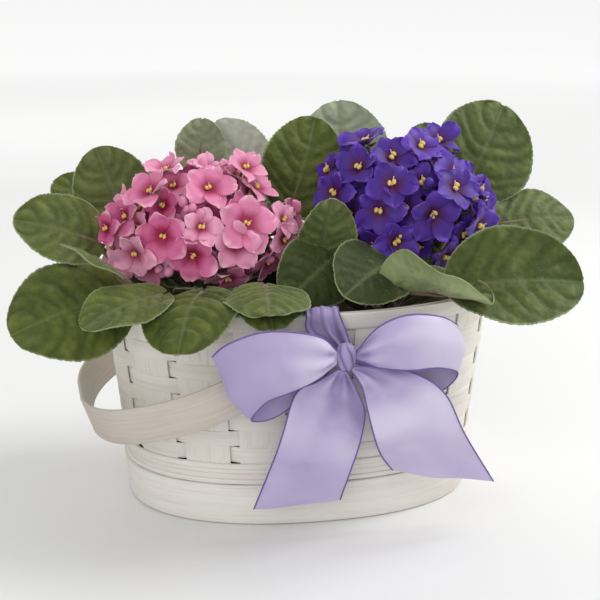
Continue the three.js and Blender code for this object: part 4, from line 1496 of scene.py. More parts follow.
@dataclass
class Foliage:
    """One plant's crown, leaf stalks, quilted leaves and their hairs."""

    plant: str
    x: float
    leaves: list[Leaf]
    leaf_material: Material
    palette: Palette
    cell: float = 1.05
    thickness: float = 0.7
    raise_blade: float = 0.8
    quilt: float = 1.9
    quilt_sink: float = 0.9
    quilt_reach: float = 2.4
    quilt_lumps: float = 5.5
    veins: int = 5
    first_vein: float = 0.03
    vein_pitch: float = 0.165
    vein_wander: float = 0.022
    vein_bend: float = 0.30
    vein_breadth: float = 0.8
    scallop: float = 4.8
    notch: float = 1.7
    margin_wave: float = 1.6
    sag: float = 1.3
    sag_lumps: float = 17.0
    foot_lobe: float = 0.075
    silver_tip: float = 4.0
    young: int = 7
    young_turn: float = 25.0
    young_foot: float = 121.0
    young_reach: float = 17.0
    young_size: float = 21.0
    young_rise: float = 11.0
    stalk_root: float = 7.7
    stalk_bend: float = 14.0
    stalk_steps: int = 12
    rib_shares: tuple[float, ...] = (0.12, 0.25, 0.4, 0.55)
    rib_radii: tuple[float, ...] = (1.4, 1.1, 0.8, 0.5)
    crown_height: float = 112.0
    crown: tuple[Pair, ...] = ((0, 83.3), (5.6, 83.3), (8, 98), (10, 100), (11, 102), (10, 106), (7.5, 110),
                               (4, 112), (0, 112.4))
    crown_lobes: float = 0.10
    hair: tuple[Pair, ...] = ((0.034, 0), (0.03, 0.6), (0.004, 1.25))
    hair_density: float = 92000.0
    hair_sizes: Pair = (0.6, 1.25)
    hair_slant: float = 0.7
    hair_seed: int = 7
    seed: int = 3

    def outline(self, share: float) -> float:
        """Returns the half width of a blade at a share of its length, widest below its middle."""
        return 0.05 + 0.95 * sin(pi * share ** 0.85) ** 0.55 if 0 < share < 1 else 0.05

    def to_vein(self, share: float, across: float, half: float, length: float, waves: Array) -> float:
        """Measures how near a place on a blade is to a vein.

        Args:
            share: The share of the blade's length.
            across: The share of its half width, below 0 on the near side.
            half: Its half width there.
            length: Its length.
            waves: The leaf's own phases.

        Returns:
            The distance.
        """
        bend = self.vein_bend * abs(across) ** 1.5 + 0.015 * sin(7 * across + waves[2])
        slots = (self.first_vein + self.vein_pitch * k
                 + self.vein_wander * sin(9 * k + waves[0] + (across > 0)) for k in range(self.veins))
        return min(abs(across) * half, min(abs(share - slot - bend) * length for slot in slots) + 0.5)

    def blade(self, leaf: Leaf, number: int) -> Skin:
        """Makes one quilted blade with a scalloped margin.

        Args:
            leaf: The leaf's place and sizes.
            number: The leaf's number, which varies its waves and tone.

        Returns:
            The closed skin with the values vein, edge, puff and tone.
        """
        rng = np.random.default_rng(self.seed * 100 + number)
        along, up, side = leaf.axes()
        base, tip = np.array(leaf.base, float), np.array(leaf.tip, float)
        length = leaf.length()
        rows, columns = round(length / self.cell) + 8, 2 * round(leaf.width / self.cell / 4) + 3
        waves = rng.uniform(0, 6.28, 3)
        scallops = max(6, round(length / self.scallop))
        grid = np.zeros((rows, columns, 3))
        vein, edge, puffed = (np.zeros((rows, columns)) for _ in range(3))
        shares = 0.5 - 0.5 * np.cos(np.linspace(0.3, pi - 0.3, rows))
        shares = (shares - shares[0]) / (shares[-1] - shares[0])
        for i, share in enumerate(shares):
            half = leaf.width / 2 * self.outline(share)
            lobe = abs(sin(pi * share * scallops)) - 0.55
            notch = self.notch * lobe * smooth(min(share, 1 - share) / 0.08)
            for j, v in enumerate(np.linspace(-1, 1, columns)):
                across = copysign(abs(v) ** 0.85, v)
                reach = across * half + copysign(notch * abs(v) ** 8, v)
                place = np.array([share * length, reach, 0])
                distance = self.to_vein(share, across, half, length, waves)
                puff = 1 - exp(-((distance / self.quilt_reach) ** 2))
                puff *= 0.85 + 0.45 * ripple(place + 9.0 * UP, self.quilt_lumps, waves[0])
                lift = leaf.arch * 4 * share * (1 - share)
                lift += leaf.cup * (half / leaf.width) * 2 * across * across
                if across < 0:
                    lift += leaf.tuck * across * across * smooth((share - 0.15) / 0.5) * half / leaf.width * 2
                    roll = smooth((abs(across) - 0.55) / 0.45) * sin(pi * share) ** 0.5
                    lift += leaf.rolled * roll
                lift += (self.quilt * puff - self.quilt_sink) * (1 - abs(across) ** 6) * min(1.0, half / 9)
                wave = sin(share * 9 + waves[0] + 2.2 * across)
                lift += self.margin_wave * across ** 4 * wave * min(1.0, half / 12)
                lift += self.sag * ripple(place, self.sag_lumps, waves[1])
                back = -self.foot_lobe * length * across * across * (1 - share) ** 4
                grid[i, j] = base + (tip - base) * share + side * reach + up * lift + along * back
                vein[i, j] = exp(-((distance / self.vein_breadth) ** 2)) * (1 - 0.5 * abs(across))
                puffed[i, j] = puff
                edge[i, j] = max(abs(v) ** 3, 1 - min(1.0, (1 - share) * length / self.silver_tip))
        # Tone: a random part, a painted highlight that grows on the higher leaves, and the leaf's own painted
        # light
        tone = float(rng.uniform(0.0, 0.30)) + 0.35 * smooth((leaf.base[2] - 150) / 30) + leaf.painted_light
        values = {"vein": vein, "edge": edge, "puff": puffed, "tone": np.full(vein.shape, tone)}
        return sheet_skin(grid + up * self.raise_blade, -self.thickness, values)

    def young_leaf(self, number: int) -> Leaf:
        """Places one of the small leaves round the crown, below the flowers.

        Args:
            number: Its number round the crown.

        Returns:
            The leaf.
        """
        turn = radians(number * 360 / self.young + self.young_turn)
        out = np.array([sin(turn), -cos(turn), 0.0])
        base = np.array([self.x, 0, self.young_foot + 3 * (number % 2)]) + out * self.young_reach
        tip = base + out * self.young_size + UP * self.young_rise
        return Leaf(tuple(base), tuple(tip), self.young_size, (-out[0], -out[1], 1.6), 2, -2)

    def stalk(self, leaf: Leaf, number: int) -> Skin:
        """Runs a leaf's stalk from the crown to its blade and on as the rib beneath it.

        Args:
            leaf: The leaf.
            number: Its number, which sets its height.

        Returns:
            The closed skin.
        """
        along, up, _ = leaf.axes()
        base = np.array(leaf.base, float)
        crown = np.array([self.x, 0, self.crown_height - 6])
        root = crown + unit((base - crown) * np.array([1, 1, 0])) * self.stalk_root
        root[2] += (number % 3) * 3 - 5
        bend = base - along * self.stalk_bend
        bend[2] = min(bend[2], mix(root[2], base[2], 0.55))
        path = bezier(root, bend, base + along * 1.5 - up * 0.4, self.stalk_steps)
        rib = [base + along * leaf.length() * s + up * (leaf.arch * 4 * s * (1 - s) - 1.2)
               for s in self.rib_shares]
        radius = np.concatenate([np.linspace(2.3, 1.8, self.stalk_steps), self.rib_radii])
        return tube_skin(np.vstack([path, rib]), radius, 9, 1)

    def make(self) -> None:
        """Makes the plant's foliage and its hairs."""
        crown = turned_skin(self.crown, 20, (self.x, 0, 0), 1)
        for point in crown.points:
            if point[2] > 99:
                push = 1 + self.crown_lobes * sin(5 * atan2(point[1], point[0] - self.x))
                point[0] = self.x + (point[0] - self.x) * push
                point[1] *= push
        leaves = self.leaves + [self.young_leaf(n) for n in range(self.young)]
        blades = [self.blade(leaf, n) for n, leaf in enumerate(leaves)]
        stalks = [self.stalk(leaf, n) for n, leaf in enumerate(leaves)]
        green = to_object(f"{self.plant}_leaves", blades + stalks + [crown],
                          [self.leaf_material, self.palette.stalk], 70)
        hair = to_object("hair shape", [turned_skin(self.hair, 3)], [self.palette.fuzz])
        least, most = self.hair_sizes
        hairs = strewn_tree().run(
            green, f"{self.plant}_leaf_hairs", part=hair, density=self.hair_density, seed=self.hair_seed,
            smallest=least, largest=most, slant=self.hair_slant, material=self.palette.fuzz)
        discard(hair)
        settle(green, [f"{self.plant}_foliage"])
        settle(hairs)


@dataclass(frozen=True)
class Head:
    """A flower head: an oval dome, and the blooms on it as (turn, height, radius)."""

    centre: Triple
    half: Triple
    blooms: tuple[Triple, ...]
    buds: tuple[Triple, ...]
    fillers: tuple[Triple, ...] = ()

    def place(self, turn: float, height: float, share: float) -> tuple[Array, Array]:
        """Finds a place on the head.

        Args:
            turn: Its turn from the front, in degrees.
            height: Its height, in degrees.
            share: How far out it lies.

        Returns:
            The outward way and the point.
        """
        t, h = radians(turn), radians(height)
        way = np.array([sin(t) * cos(h), -cos(t) * cos(h), sin(h)])
        return way, np.array(self.centre) + way * np.array(self.half) * share


PINK_HEAD = Head((-57, -2, 154), (57, 40, 46), (
    (-48, 44, 15.5), (5, 56, 15.5), (-29, 12, 15.5), (25, 19, 18), (-9, -4, 15.5), (18, 4, 15),
    (-46, -2, 14), (-80, 23, 13.5), (-4, 19, 12), (55, 2, 12.5), (160, 74, 13), (-118, 66, 13.5),
    (101, 60, 12.5), (90, 46, 13), (86, 12, 12), (-84, 10, 11), (17, -28, 13), (46, -14, 12),
    (180, 40, 14), (-150, 30, 14), (145, 26, 13), (-160, 0, 12)),
    ((-18, 40, 4.0), (-10, 34, 3.6), (-4, 29, 4.2), (-14, 33, 3.0), (-94, 4, 3.8), (-97, -2, 3.0),
     (-26, -17, 3.6), (-33, -15, 3.0), (46, -12, 3.8), (52, -9, 3.0), (66, 26, 3.4), (120, 8, 3.4),
     (170, 16, 3.2), (160, 82, 4.0), (110, 66, 3.8), (70, 20, 4.0), (80, 16, 3.4), (52, -4, 4.4)),
    ((-92, -8, 12), (-72, -14, 11), (78, 16, 12), (112, 62, 12), (-104, 30, 11), (58, 16, 12), (74, 2, 12),
     (-92, -8, 13), (84, 8, 12)))

PURPLE_HEAD = Head((63, 0, 163), (54, 41, 47), (
    (-120, 64, 15), (-105, 47, 14), (-58, 46, 14), (-64, 22, 14), (-30, 66, 14), (40, 74, 14),
    (-18, 32, 15), (50, 41, 16), (-26, 13, 15), (30, 26, 15), (14, 9, 16.5), (80, 10, 14),
    (50, -4, 14.5), (68, -28, 13), (-14, -12, 14), (110, 62, 14), (82, 28, 13), (180, 42, 15),
    (-155, 28, 13), (140, 30, 15), (26, -28, 13)),
    ((-75, 8, 3.2), (-40, -4, 3.4), (30, -14, 3.4), (104, 12, 3.4), (160, 12, 3.2), (12, 34, 3.6),
     (34, 24, 3.8),
     (62, 24, 3.8), (66, 19, 3.2), (60, 8, 4.4), (56, 4, 3.6), (-96, 50, 3.4), (-88, 56, 3.0), (86, -6, 3.2)),
    ((-104, 34, 12), (-12, -8, 12), (126, 50, 12), (86, -30, 12), (64, 14, 12), (74, 20, 11), (70, 0, 12),
     (46, -13, 13), (60, 0, 13), (52, -20, 12), (-30, -18, 13)))


@dataclass
class Flowers:
    """One plant's flower stems, blooms, buds and anthers."""

    plant: str
    x: float
    head: Head
    petal: Material
    slot: Slot
    palette: Palette
    petals: int = 5
    rows: int = 10
    columns: int = 13
    thickness: float = 0.4
    layers: Triple = (0.96, 0.82, 0.89)
    broad: float = 0.56
    petal_width: float = 0.42
    upper_petal: float = 0.92
    lower_petal: float = 1.04
    ruffle: float = 0.050
    flutter: float = 0.010
    overlap: float = 0.075
    inner: int = 30
    inner_share: float = 0.70
    inner_radius: float = 12.0
    inner_low: float = -0.52
    golden_turn: float = 137.5
    root_share: float = 0.336
    branch_share: float = 0.345
    sepals: int = 5
    calyx: float = 0.20
    bud_share: float = 0.9
    bud_size: float = 0.82
    anther_size: float = 0.85
    core_share: float = 0.68
    nod: float = 0.22
    stem_foot: float = 112.8
    seed: int = 21

    def looks(self, number: int, turn: float, height: float) -> tuple[Array, Array]:
        """Turns a bloom a little off the head's own way.

        Args:
            number: The bloom's number.
            turn: Its turn round the head, in degrees.
            height: Its height on the head, in degrees.

        Returns:
            The way that it looks, and its middle.
        """
        rng = np.random.default_rng(self.seed * 77 + number)
        outer = number < len(self.head.blooms) + len(self.head.fillers)
        share = self.layers[number % 3] if outer else self.inner_share
        way, centre = self.head.place(turn, height, share)
        flank = smooth((abs(turn) - 40) / 40) * smooth((130 - abs(turn)) / 25)
        forward = np.array([0, -0.55 * max(smooth((height - 35) / 35), flank), 0])
        return unit(way + rng.uniform(-self.nod, self.nod, 3) + forward), centre

    def all_blooms(self) -> list[Triple]:
        """Adds the smaller blooms that fill the head between and behind its own.

        Returns:
            All the blooms, as (turn, height, radius).
        """
        inner = []
        for i in range(self.inner):
            height = degrees(asin(mix(self.inner_low, 1.0, (i + 0.5) / self.inner)))
            inner.append(((i * self.golden_turn + self.seed * 10) % 360 - 180, height, self.inner_radius))
        return list(self.head.blooms) + list(self.head.fillers) + inner

    def bloom(self, number: int, turn: float, height: float, radius: float) -> list[Skin]:
        """Makes one bloom with its calyx and stalk.

        Args:
            number: The bloom's number, which sets its spin, depth and waves.
            turn: Its turn round the head, in degrees.
            height: Its height on the head, in degrees.
            radius: The reach of its petals.

        Returns:
            The bloom's skins.
        """
        rng = np.random.default_rng(self.seed * 1000 + number)
        way, centre = self.looks(number, turn, height)
        _, root = self.head.place(turn, height, self.root_share)
        side, up = bloom_axes(way)
        spin = (number * 29) % 72
        tone = float(rng.uniform(0.0, 1.0)) ** 1.6
        cup = float(rng.uniform(0.08, 0.34)) + 0.16 * smooth((height - 40) / 30)
        skins = []
        for petal in range(self.petals):
            angle = radians(petal * 360 / self.petals + spin)
            size = self.upper_petal if abs(cos(angle / 2)) > 0.8 else self.lower_petal
            reach = radius * size * float(rng.uniform(0.96, 1.04))
            skins.append(self.petal_skin(centre, way, side, up, angle, reach, cup, tone, rng))
        calyx = radius * self.calyx
        for sepal in range(self.sepals):
            angle = radians(sepal * 360 / self.sepals + spin + 36)
            out = side * sin(angle) + up * cos(angle)
            path = np.array([centre - way * 2.2 + out * 0.8, centre - way * 1.9 + out * calyx,
                             centre - way * 1.2 + out * calyx * 1.9])
            skins.append(tube_skin(path, [0.8, 0.95, 0.25], 5, 1))
        neck = centre - way * 1.6
        bow = unit(np.cross(way, UP) + 1e-3) * float(rng.uniform(-3, 3)) - UP * 2.0
        stalk = bezier(root, (root + neck) / 2 + bow, neck, 8)
        skins.append(tube_skin(stalk, np.linspace(1.0, 0.75, 8), 6, 1))
        return skins

    def petal_skin(self, centre: Array, way: Array, side: Array, up: Array, angle: float,
                   reach: float, cup: float, tone: float, rng: np.random.Generator) -> Skin:
        """Makes one wavy petal.

        Args:
            centre: The bloom's middle.
            way: The way that the bloom looks.
            side: The bloom's sideways direction.
            up: The bloom's upward direction.
            angle: The petal's turn in the bloom, in radians.
            reach: The petal's length from the middle.
            cup: How far the petal rises, as a share of its length.
            tone: How pale the bloom is.
            rng: The bloom's own random numbers.

        Returns:
            The closed skin with the values reach, rib and tone.
        """
        out = side * sin(angle) + up * cos(angle)
        cross = side * cos(angle) - up * sin(angle)
        wave, ruffle, droop = rng.uniform(0, 6.28), rng.uniform(0.5, 1.3), rng.uniform(-0.06, 0.20)
        tilt, twist, dish = rng.uniform(-0.10, 0.16), rng.uniform(-0.12, 0.12), rng.uniform(-0.05, 0.13)
        grid = np.zeros((self.rows, self.columns, 3))
        far, rib = (np.zeros((self.rows, self.columns)) for _ in range(2))
        ends = 0.5 - 0.5 * np.cos(np.linspace(0.0, pi, self.rows))
        for i, t in enumerate(0.35 * np.linspace(0, 1, self.rows) + 0.65 * ends):
            if t < self.broad:
                spread = 0.26 + 0.74 * sin(t / self.broad * pi / 2) ** 1.5
            else:
                spread = max(0.10, 1 - ((t - self.broad) / (1 - self.broad)) ** 2) ** 0.5
            spread *= reach * self.petal_width
            for j, v in enumerate(np.linspace(-1, 1, self.columns)):
                along = (0.06 + 0.94 * t - 0.07 * v * v * t) * reach
                lift = reach * (cup * sin(min(1.0, t * 1.2) * pi / 2) + tilt * t - droop * t * t)
                lift += self.ruffle * reach * ruffle * t ** 2.2 * sin(v * 4.6 + wave)
                lift += self.flutter * reach * t ** 4 * sin(v * 9 + wave * 2)
                lift += (self.overlap + twist) * reach * v * t + dish * reach * v * v * t
                grid[i, j] = centre + out * along + cross * v * spread + way * lift
                far[i, j] = min(1.0, hypot(t, 0.35 * v * spread / reach))
                rib[i, j] = exp(-((v / 0.10) ** 2)) * (1 - t * 0.7)
        values = {"reach": far, "rib": rib, "tone": np.full(far.shape, tone)}
        return sheet_skin(grid, self.thickness, values)

    def bud(self, turn: float, height: float, radius: float) -> list[Skin]:
        """Makes one closed bud on its stalk.

        Args:
            turn: Its turn round the head, in degrees.
            height: Its height on the head, in degrees.
            radius: Its size.

        Returns:
            The bud's skins.
        """
        way, centre = self.head.place(turn, height, self.bud_share)
        _, root = self.head.place(turn, height, self.root_share)
        side, up = bloom_axes(way)
        radius *= self.bud_size
        tip = ball_skin(centre, (side * radius * 0.9, up * radius, way * radius * 1.4), 12, 8)
        tip.tagged(reach=0.62, tone=0.55)
        cup = ball_skin(centre - way * radius * 0.7,
                        (side * radius * 0.85, up * radius * 0.92, way * radius), 10, 6, 1)
        stalk = tube_skin(bezier(root, (root + centre) / 2 - UP * 2, centre - way * radius, 7), 0.8, 6, 1)
        return [tip, cup, stalk]

    def shaded_core(self) -> Skin:
        """Makes the crowded mass of unopened flowers deep in the middle of the head, coloured dark like the
        petals' throats as painted shade between the blooms.

        Returns:
            The closed skin.
        """
        centre = np.array(self.head.centre, float) - UP * 5
        shaded_core = ball_skin(centre, np.diag(np.array(self.head.half, float) * self.core_share), 72, 44)
        for point in shaded_core.points:
            lump = 1 + 0.10 * ripple(point, 11.0, self.seed) + 0.07 * abs(ripple(point, 5.0, self.seed + 4))
            flat = 0.5 if point[2] < centre[2] else 1.0
            point[:] = centre + (point - centre) * lump * np.array([1.0, 1.0, flat])
        # Reach 0.34 gives throat colours: painted shade in the gaps between blooms
        return shaded_core.tagged(reach=0.34, tone=0.0)

    def stems(self) -> list[Skin]:
        """Makes the three stems from the crown and the branches to the larger blooms.

        Returns:
            Their skins.
        """
        heart = np.array(self.head.centre, float)
        skins = []
        for turn in (-60, 60, 180):
            way, _ = self.head.place(turn, 0, 1)
            foot = np.array([self.x, 0, self.stem_foot]) + way * 1.6
            skins.append(tube_skin(bezier(foot, (foot + heart) / 2 + way * 4, heart + way * 8, 10),
                                   np.linspace(2.0, 1.5, 10), 9, 1))
        for turn, height, _ in self.head.blooms:
            _, root = self.head.place(turn, height, self.branch_share)
            skins.append(tube_skin(bezier(heart, (heart + root) / 2 - UP * 2, root, 5), 1.1, 6, 1))
        return skins

    def anther_shape(self) -> Object:
        """Makes a bloom's yellow middle: two sacs, the pale thread between them and their seat.

        Returns:
            The part, to be set in each bloom.
        """
        sacs = [ball_skin(np.array([s * 1.2, 0.15 * s, 1.5 + 0.2 * s]), np.diag([1.1, 1.6, 1.15]), 10, 6)
                for s in (-1, 1)]
        sacs.append(tube_skin(np.array([[0, 0.4, 0], [0.8, 1.6, 2.2], [1.2, 2.6, 3.2]]), 0.26, 5))
        sacs.append(ball_skin(np.array([0, 0, 0.2]), np.diag([1.2, 1.2, 1.0]), 8, 4))
        for sac, tone in zip(sacs, (0.0, 0.0, 1.0, 0.3)):
            sac.tagged(tone=tone)
        return to_object("anther shape", sacs, [self.palette.anther], 60)

    def make(self) -> None:
        """Makes the flower head."""
        skins: list[Skin] = []
        anthers: list[tuple[Array, Triple, float]] = []
        for number, (turn, height, radius) in enumerate(self.all_blooms()):
            skins += self.bloom(number, turn, height, radius)
            way, centre = self.looks(number, turn, height)
            spin = float(np.random.default_rng(number).uniform(-0.9, 0.9))
            aim = (Vector(way).to_track_quat("Z", "Y") @ Quaternion((0, 0, 1), spin)).to_euler()
            anthers.append((centre + way * 1.0, tuple(aim), self.anther_size))
        for bud in self.head.buds:
            skins += self.bud(*bud)
        skins += self.stems() + [self.shaded_core()]
        petals = to_object(f"{self.plant}_blooms", skins, [self.petal, self.palette.stalk], 60)
        part, points = self.anther_shape(), point_cloud("anther places", anthers)
        yellow = placing_tree().run(points, f"{self.plant}_anthers", part=part, material=self.palette.anther)
        discard(points, part)
        settle(petals, [f"{self.plant}_flowers"])
        settle(yellow)


def bloom_axes(way: Array) -> tuple[Array, Array]:
    """Turns a bloom upright.

    Args:
        way: The way that it looks.

    Returns:
        Its sideways and upward directions.
    """
    side = np.array([1.0, 0, 0]) if abs(way[2]) > 0.98 else unit(np.cross(UP, way))
    up = unit(np.cross(way, side))
    return unit(np.cross(up, way)), up


# The bow
@dataclass(frozen=True)
class RibbonPart:
    """One length of ribbon between two edges, each given from one end to the other.

    It is held at shares of its length. Outward tells which face looks out, and a crease runs
    from one share of the width at the knot to another further on. Knot shade paints shade near
    the knot, or a painted highlight above 0, and glow paints the whole length lighter or darker.
    """

    node: str
    upper: tuple[Triple, ...]
    lower: tuple[Triple, ...]
    held_at: tuple[float, ...] = (0.0,)
    cut_width: float = 50.0
    puff: float = 1.5
    outward: int = 1
    sway: float = 0.0
    knot_shade: float = 0.0
    crumple: float = 1.0
    glow: float = 0.0
    shade_reach: float = 22.0
    creases: tuple[Pair, ...] = ()


RIBBON_PARTS = (
    RibbonPart("bow_loop_left",
        ((5.6, -94.6, 110), (-8, -107, 123), (-34, -108, 127), (-54, -106, 121), (-63, -103, 113),
         (-54, -96, 117), (-34, -92.5, 118), (-10, -91, 113), (5.3, -91, 108)),
        ((5.6, -94.6, 102), (-10, -101, 95), (-24, -104.5, 90.5), (-35, -105, 86.5), (-42, -101, 76),
         (-33, -95.5, 73), (-22, -93.2, 77), (-6, -91, 89), (5.3, -91, 101)),
        held_at=(0.0, 1.0), puff=3.5, knot_shade=0.66, glow=-0.30, shade_reach=34.0),
    RibbonPart("bow_loop_right",
        ((16.4, -94.6, 109), (26, -104, 125), (42, -104, 131), (62, -97, 127), (74, -88, 118),
         (66, -84, 118), (46, -86, 120), (28, -89, 112), (16.7, -91, 108)),
        ((16.4, -94.6, 104), (28, -104, 102), (44, -105, 100), (62, -98, 98), (75, -89, 91),
         (66, -85, 80), (48, -86.5, 84), (30, -89, 96), (16.7, -91, 101)),
        held_at=(0.0, 1.0), puff=3.5, outward=-1, knot_shade=-0.80, glow=0.40, shade_reach=33.0),
    RibbonPart("bow_tail_left",
        ((5.6, -95.2, 99.4), (-6, -98.5, 94), (-17, -97, 87), (-24, -95, 66), (-31, -89, 42),
         (-39, -84, 17)),
        ((11.2, -95.8, 98), (16, -98.5, 88), (21, -96.5, 74), (20, -94, 58), (15, -89, 40),
         (10, -84, 19)),
        sway=2.6, knot_shade=-0.85, glow=0.12, shade_reach=32.0),
    RibbonPart("bow_tail_right",
        ((16.2, -95.4, 101), (30, -101, 102), (50, -101, 95), (66, -98, 82), (78, -94, 58),
         (98, -88, 25)),
        ((12.9, -96.6, 99.4), (18, -102, 91), (22, -101, 76), (26, -97, 60), (31, -93, 48),
         (39, -88, 36)),
        outward=-1, sway=2.6, knot_shade=-1.00, glow=0.20, shade_reach=24.0),
    RibbonPart("bow_tie",
        ((6, -87.3, 107), (-2, -84, 111), (-8.5, -80.5, 118.5), (-8, -78.6, 125.4), (-8, -73, 128),
         (-8, -68.8, 122), (-8, -68.3, 115)),
        ((15, -87.3, 107), (14.5, -84.5, 111.5), (12.6, -81, 118), (10, -78.6, 125.4), (10, -73, 128),
         (10, -68.8, 122), (10, -68.3, 115)),
        cut_width=24.0, puff=0.0, outward=-1, knot_shade=-0.20, crumple=2.1, glow=-0.75,
        creases=((0.30, 0.10), (0.52, 0.42), (0.78, 0.80))),
)


@dataclass
class Bow:
    """The ribbon bow: loops, tails, the loop over the rim, the knot and the wired edges."""

    palette: Palette
    thickness: float = 0.35
    rows: int = 84
    columns: int = 25
    edge_radius: float = 0.46
    gather_reach: float = 19.0
    free_from: float = 14.0
    pleats: float = 2.3
    pleat_depth: float = 2.2
    fold_depth: float = 2.6
    fold_lumps: float = 22.0
    crumple_depth: float = 0.9
    crumple_lumps: float = 10.0
    crease_depth: float = 1.1
    crease_run: float = 22.0
    sway_length: float = 12.7
    knot: Triple = (11, -92.5, 105)
    knot_half: Triple = (5.5, 4.5, 8.5)
    knot_rings: int = 26
    knot_sides: int = 48
    seed: int = 5

    def surface(self, part: RibbonPart, number: int) -> tuple[Array, Array]:
        """Lays out a length of ribbon with its pleats and soft crumples, and paints its light and shade.

        Args:
            part: The ribbon's edges.
            number: The part's number, which varies its crumples.

        Returns:
            The grid of points, rows by columns, and the light painted at each point: 0 for painted
            shade to 1 for painted highlight, and down to -1 for painted shade in a crease.
        """
        upper, lower = spline(part.upper, self.rows), spline(part.lower, self.rows)
        grid = np.zeros((self.rows, self.columns, 3))
        folds = np.zeros((self.rows, self.columns))
        for j, v in enumerate(np.linspace(0, 1, self.columns)):
            grid[:, j] = upper * (1 - v) + lower * v
        normal = unit(np.cross(np.gradient(grid, axis=0), np.gradient(grid, axis=1)))
        length = run_lengths(grid[:, self.columns // 2])
        phase = self.seed + number * 1.7
        for i, run in enumerate(length):
            from_knot = min(abs(run - end * length[-1]) for end in part.held_at)
            gathered = exp(-from_knot / self.gather_reach) * smooth(from_knot / 5.0)
            width = float(np.linalg.norm(upper[i] - lower[i]))
            free = smooth(from_knot / self.free_from)
            strength = part.sway * exp(-((run - 45) / 32) ** 2) * free
            for j, v in enumerate(np.linspace(0, 1, self.columns)):
                calm = sin(pi * v) ** 0.5 if 0 < v < 1 else 0.0
                spread = TURN * self.pleats * v + phase + 0.9 * sin(run / 17 + phase)
                pleat = cos(spread) * min(self.pleat_depth, width / 8) * gathered * calm
                long_fold = self.fold_depth * ripple(
                    np.array([run * 0.45, v * width, 0]), self.fold_lumps, phase)
                crumple = self.crumple_depth * part.crumple * ripple(
                    np.array([run, v * width * 0.7, 0]), self.crumple_lumps, phase + 3)
                fold = pleat + (long_fold + crumple) * free * (0.30 + 0.70 * calm)
                along = min(1.0, from_knot / self.crease_run)
                dent = sum(exp(-(((v - mix(near, far, along)) * width) ** 2))
                           for near, far in part.creases)
                fold -= self.crease_depth * dent * smooth(from_knot / 6.0)
                bulge = part.puff * sin(pi * v) * free
                swing = (run - part.outward * 0.35 * v * width) / self.sway_length - 3.3 + 0.7 * part.outward
                swing = min(pi / 2, swing)
                grid[i, j] += normal[i, j] * (fold + bulge + strength * sin(swing)) * part.outward
                # Painted highlight where the sway tilts the ribbon up, painted shade where it tilts down
                slope = 0.12 * strength * cos(swing)
                lean = 0.1 + 1.5 * (v if part.outward > 0 else 1 - v) if part.sway else 1.0
                # Painted shade near the knot, or a painted highlight where knot shade is above 0
                shade = lean * part.knot_shade * exp(-((from_knot / part.shade_reach) ** 2))
                # Painted highlight on the fold's ridges, painted shade in its valleys
                relief = fold * (0.05 + 0.17 * exp(-((from_knot / 34.0) ** 2)))
                # Glow paints the whole part lighter or darker
                folds[i, j] = min(1.0, max(0.0, 0.5 + relief + slope + shade + part.glow))
                # Painted shade in the creases near the knot
                folds[i, j] -= min(1.0, dent) * exp(-((from_knot / 21.0) ** 2))
        return grid, folds

    def area(self, grid: Array) -> float:
        """Measures a surface.

        Args:
            grid: Its points.

        Returns:
            Its area in square millimetres.
        """
        a = grid[1:, 1:] - grid[:-1, :-1]
        b = grid[1:, :-1] - grid[:-1, 1:]
        return float(np.linalg.norm(np.cross(a, b), axis=2).sum() / 2)

    def make_part(self, part: RibbonPart,
                  number: int) -> tuple[Object, Object, float, float]:
        """Makes one length of ribbon with its wired edges.

        Args:
            part: The ribbon's edges.
            number: The part's number.

        Returns:
            The cloth, its edges, the ribbon's length along its middle, and its area.
        """
        grid, folds = self.surface(part, number)
        run = run_lengths(grid[:, self.columns // 2])
        width = np.linalg.norm(grid[:, 0] - grid[:, -1], axis=1)
        values = {"along": np.repeat(run[:, None], self.columns, 1), "fold": folds,
                  "across": width[:, None] * np.linspace(0, 1, self.columns)[None]}
        skin = sheet_skin(grid, -self.thickness * part.outward, values)
        cloth = to_object(f"{part.node}_cloth", [skin], [self.palette.ribbon], 70)
        wires = [tube_skin(grid[:, j], self.edge_radius, 7) for j in (0, -1)]
        hem = to_object(f"{part.node}_edges", wires, [self.palette.ribbon_edge], 60)
        settle(cloth, [part.node])
        settle(hem)
        return cloth, hem, float(run[-1]), self.area(grid)

    def make(self) -> None:
        """Makes the bow."""
        made = [self.make_part(part, number) for number, part in enumerate(RIBBON_PARTS)]
        self.make_knot()

    def make_knot(self) -> None:
        """Makes the knot: ribbon gathered into upright folds and pulled tight."""
        points, tones = [], []
        centre, half = np.array(self.knot, float), np.array(self.knot_half, float)
        for i in range(1, self.knot_rings):
            polar = i / self.knot_rings * pi
            for j in range(self.knot_sides):
                angle = j / self.knot_sides * TURN
                ridge = abs(sin(3 * angle + 1.9 * cos(polar) + 0.5 * sin(2 * angle)))
                # Painted highlight on the knot's ridges, painted shade in the creases between them
                tones.append(0.20 * ridge - 0.8 * max(0.0, 1 - ridge / 0.35))
                fold = 1 + 0.30 * (ridge - 0.62) * sin(polar) ** 0.6
                waist = 1 + 0.10 * sin(2.6 * polar + 0.8 * sin(angle))
                reach = sin(polar) ** 0.8 * fold * waist
                points.append(centre + half * np.array([
                    reach * cos(angle), reach * sin(angle), cos(polar)]))
        points += [centre + half * UP, centre - half * UP]
        skin = Skin(np.array(points), ball_faces(self.knot_rings - 1, self.knot_sides))
        skin.values = {"along": skin.points[:, 2].copy(), "across": skin.points[:, 0].copy(),
                       "fold": np.array(tones + [0.5, 0.5])}
        knot = to_object("bow_knot_cloth", [skin], [self.palette.ribbon], 60)
        settle(knot, ["bow_knot"])


# The studio
@dataclass(frozen=True)
class Lamp:
    """One soft square light: its place, side and power in watts."""

    name: str
    place: Triple
    size: float
    power: float


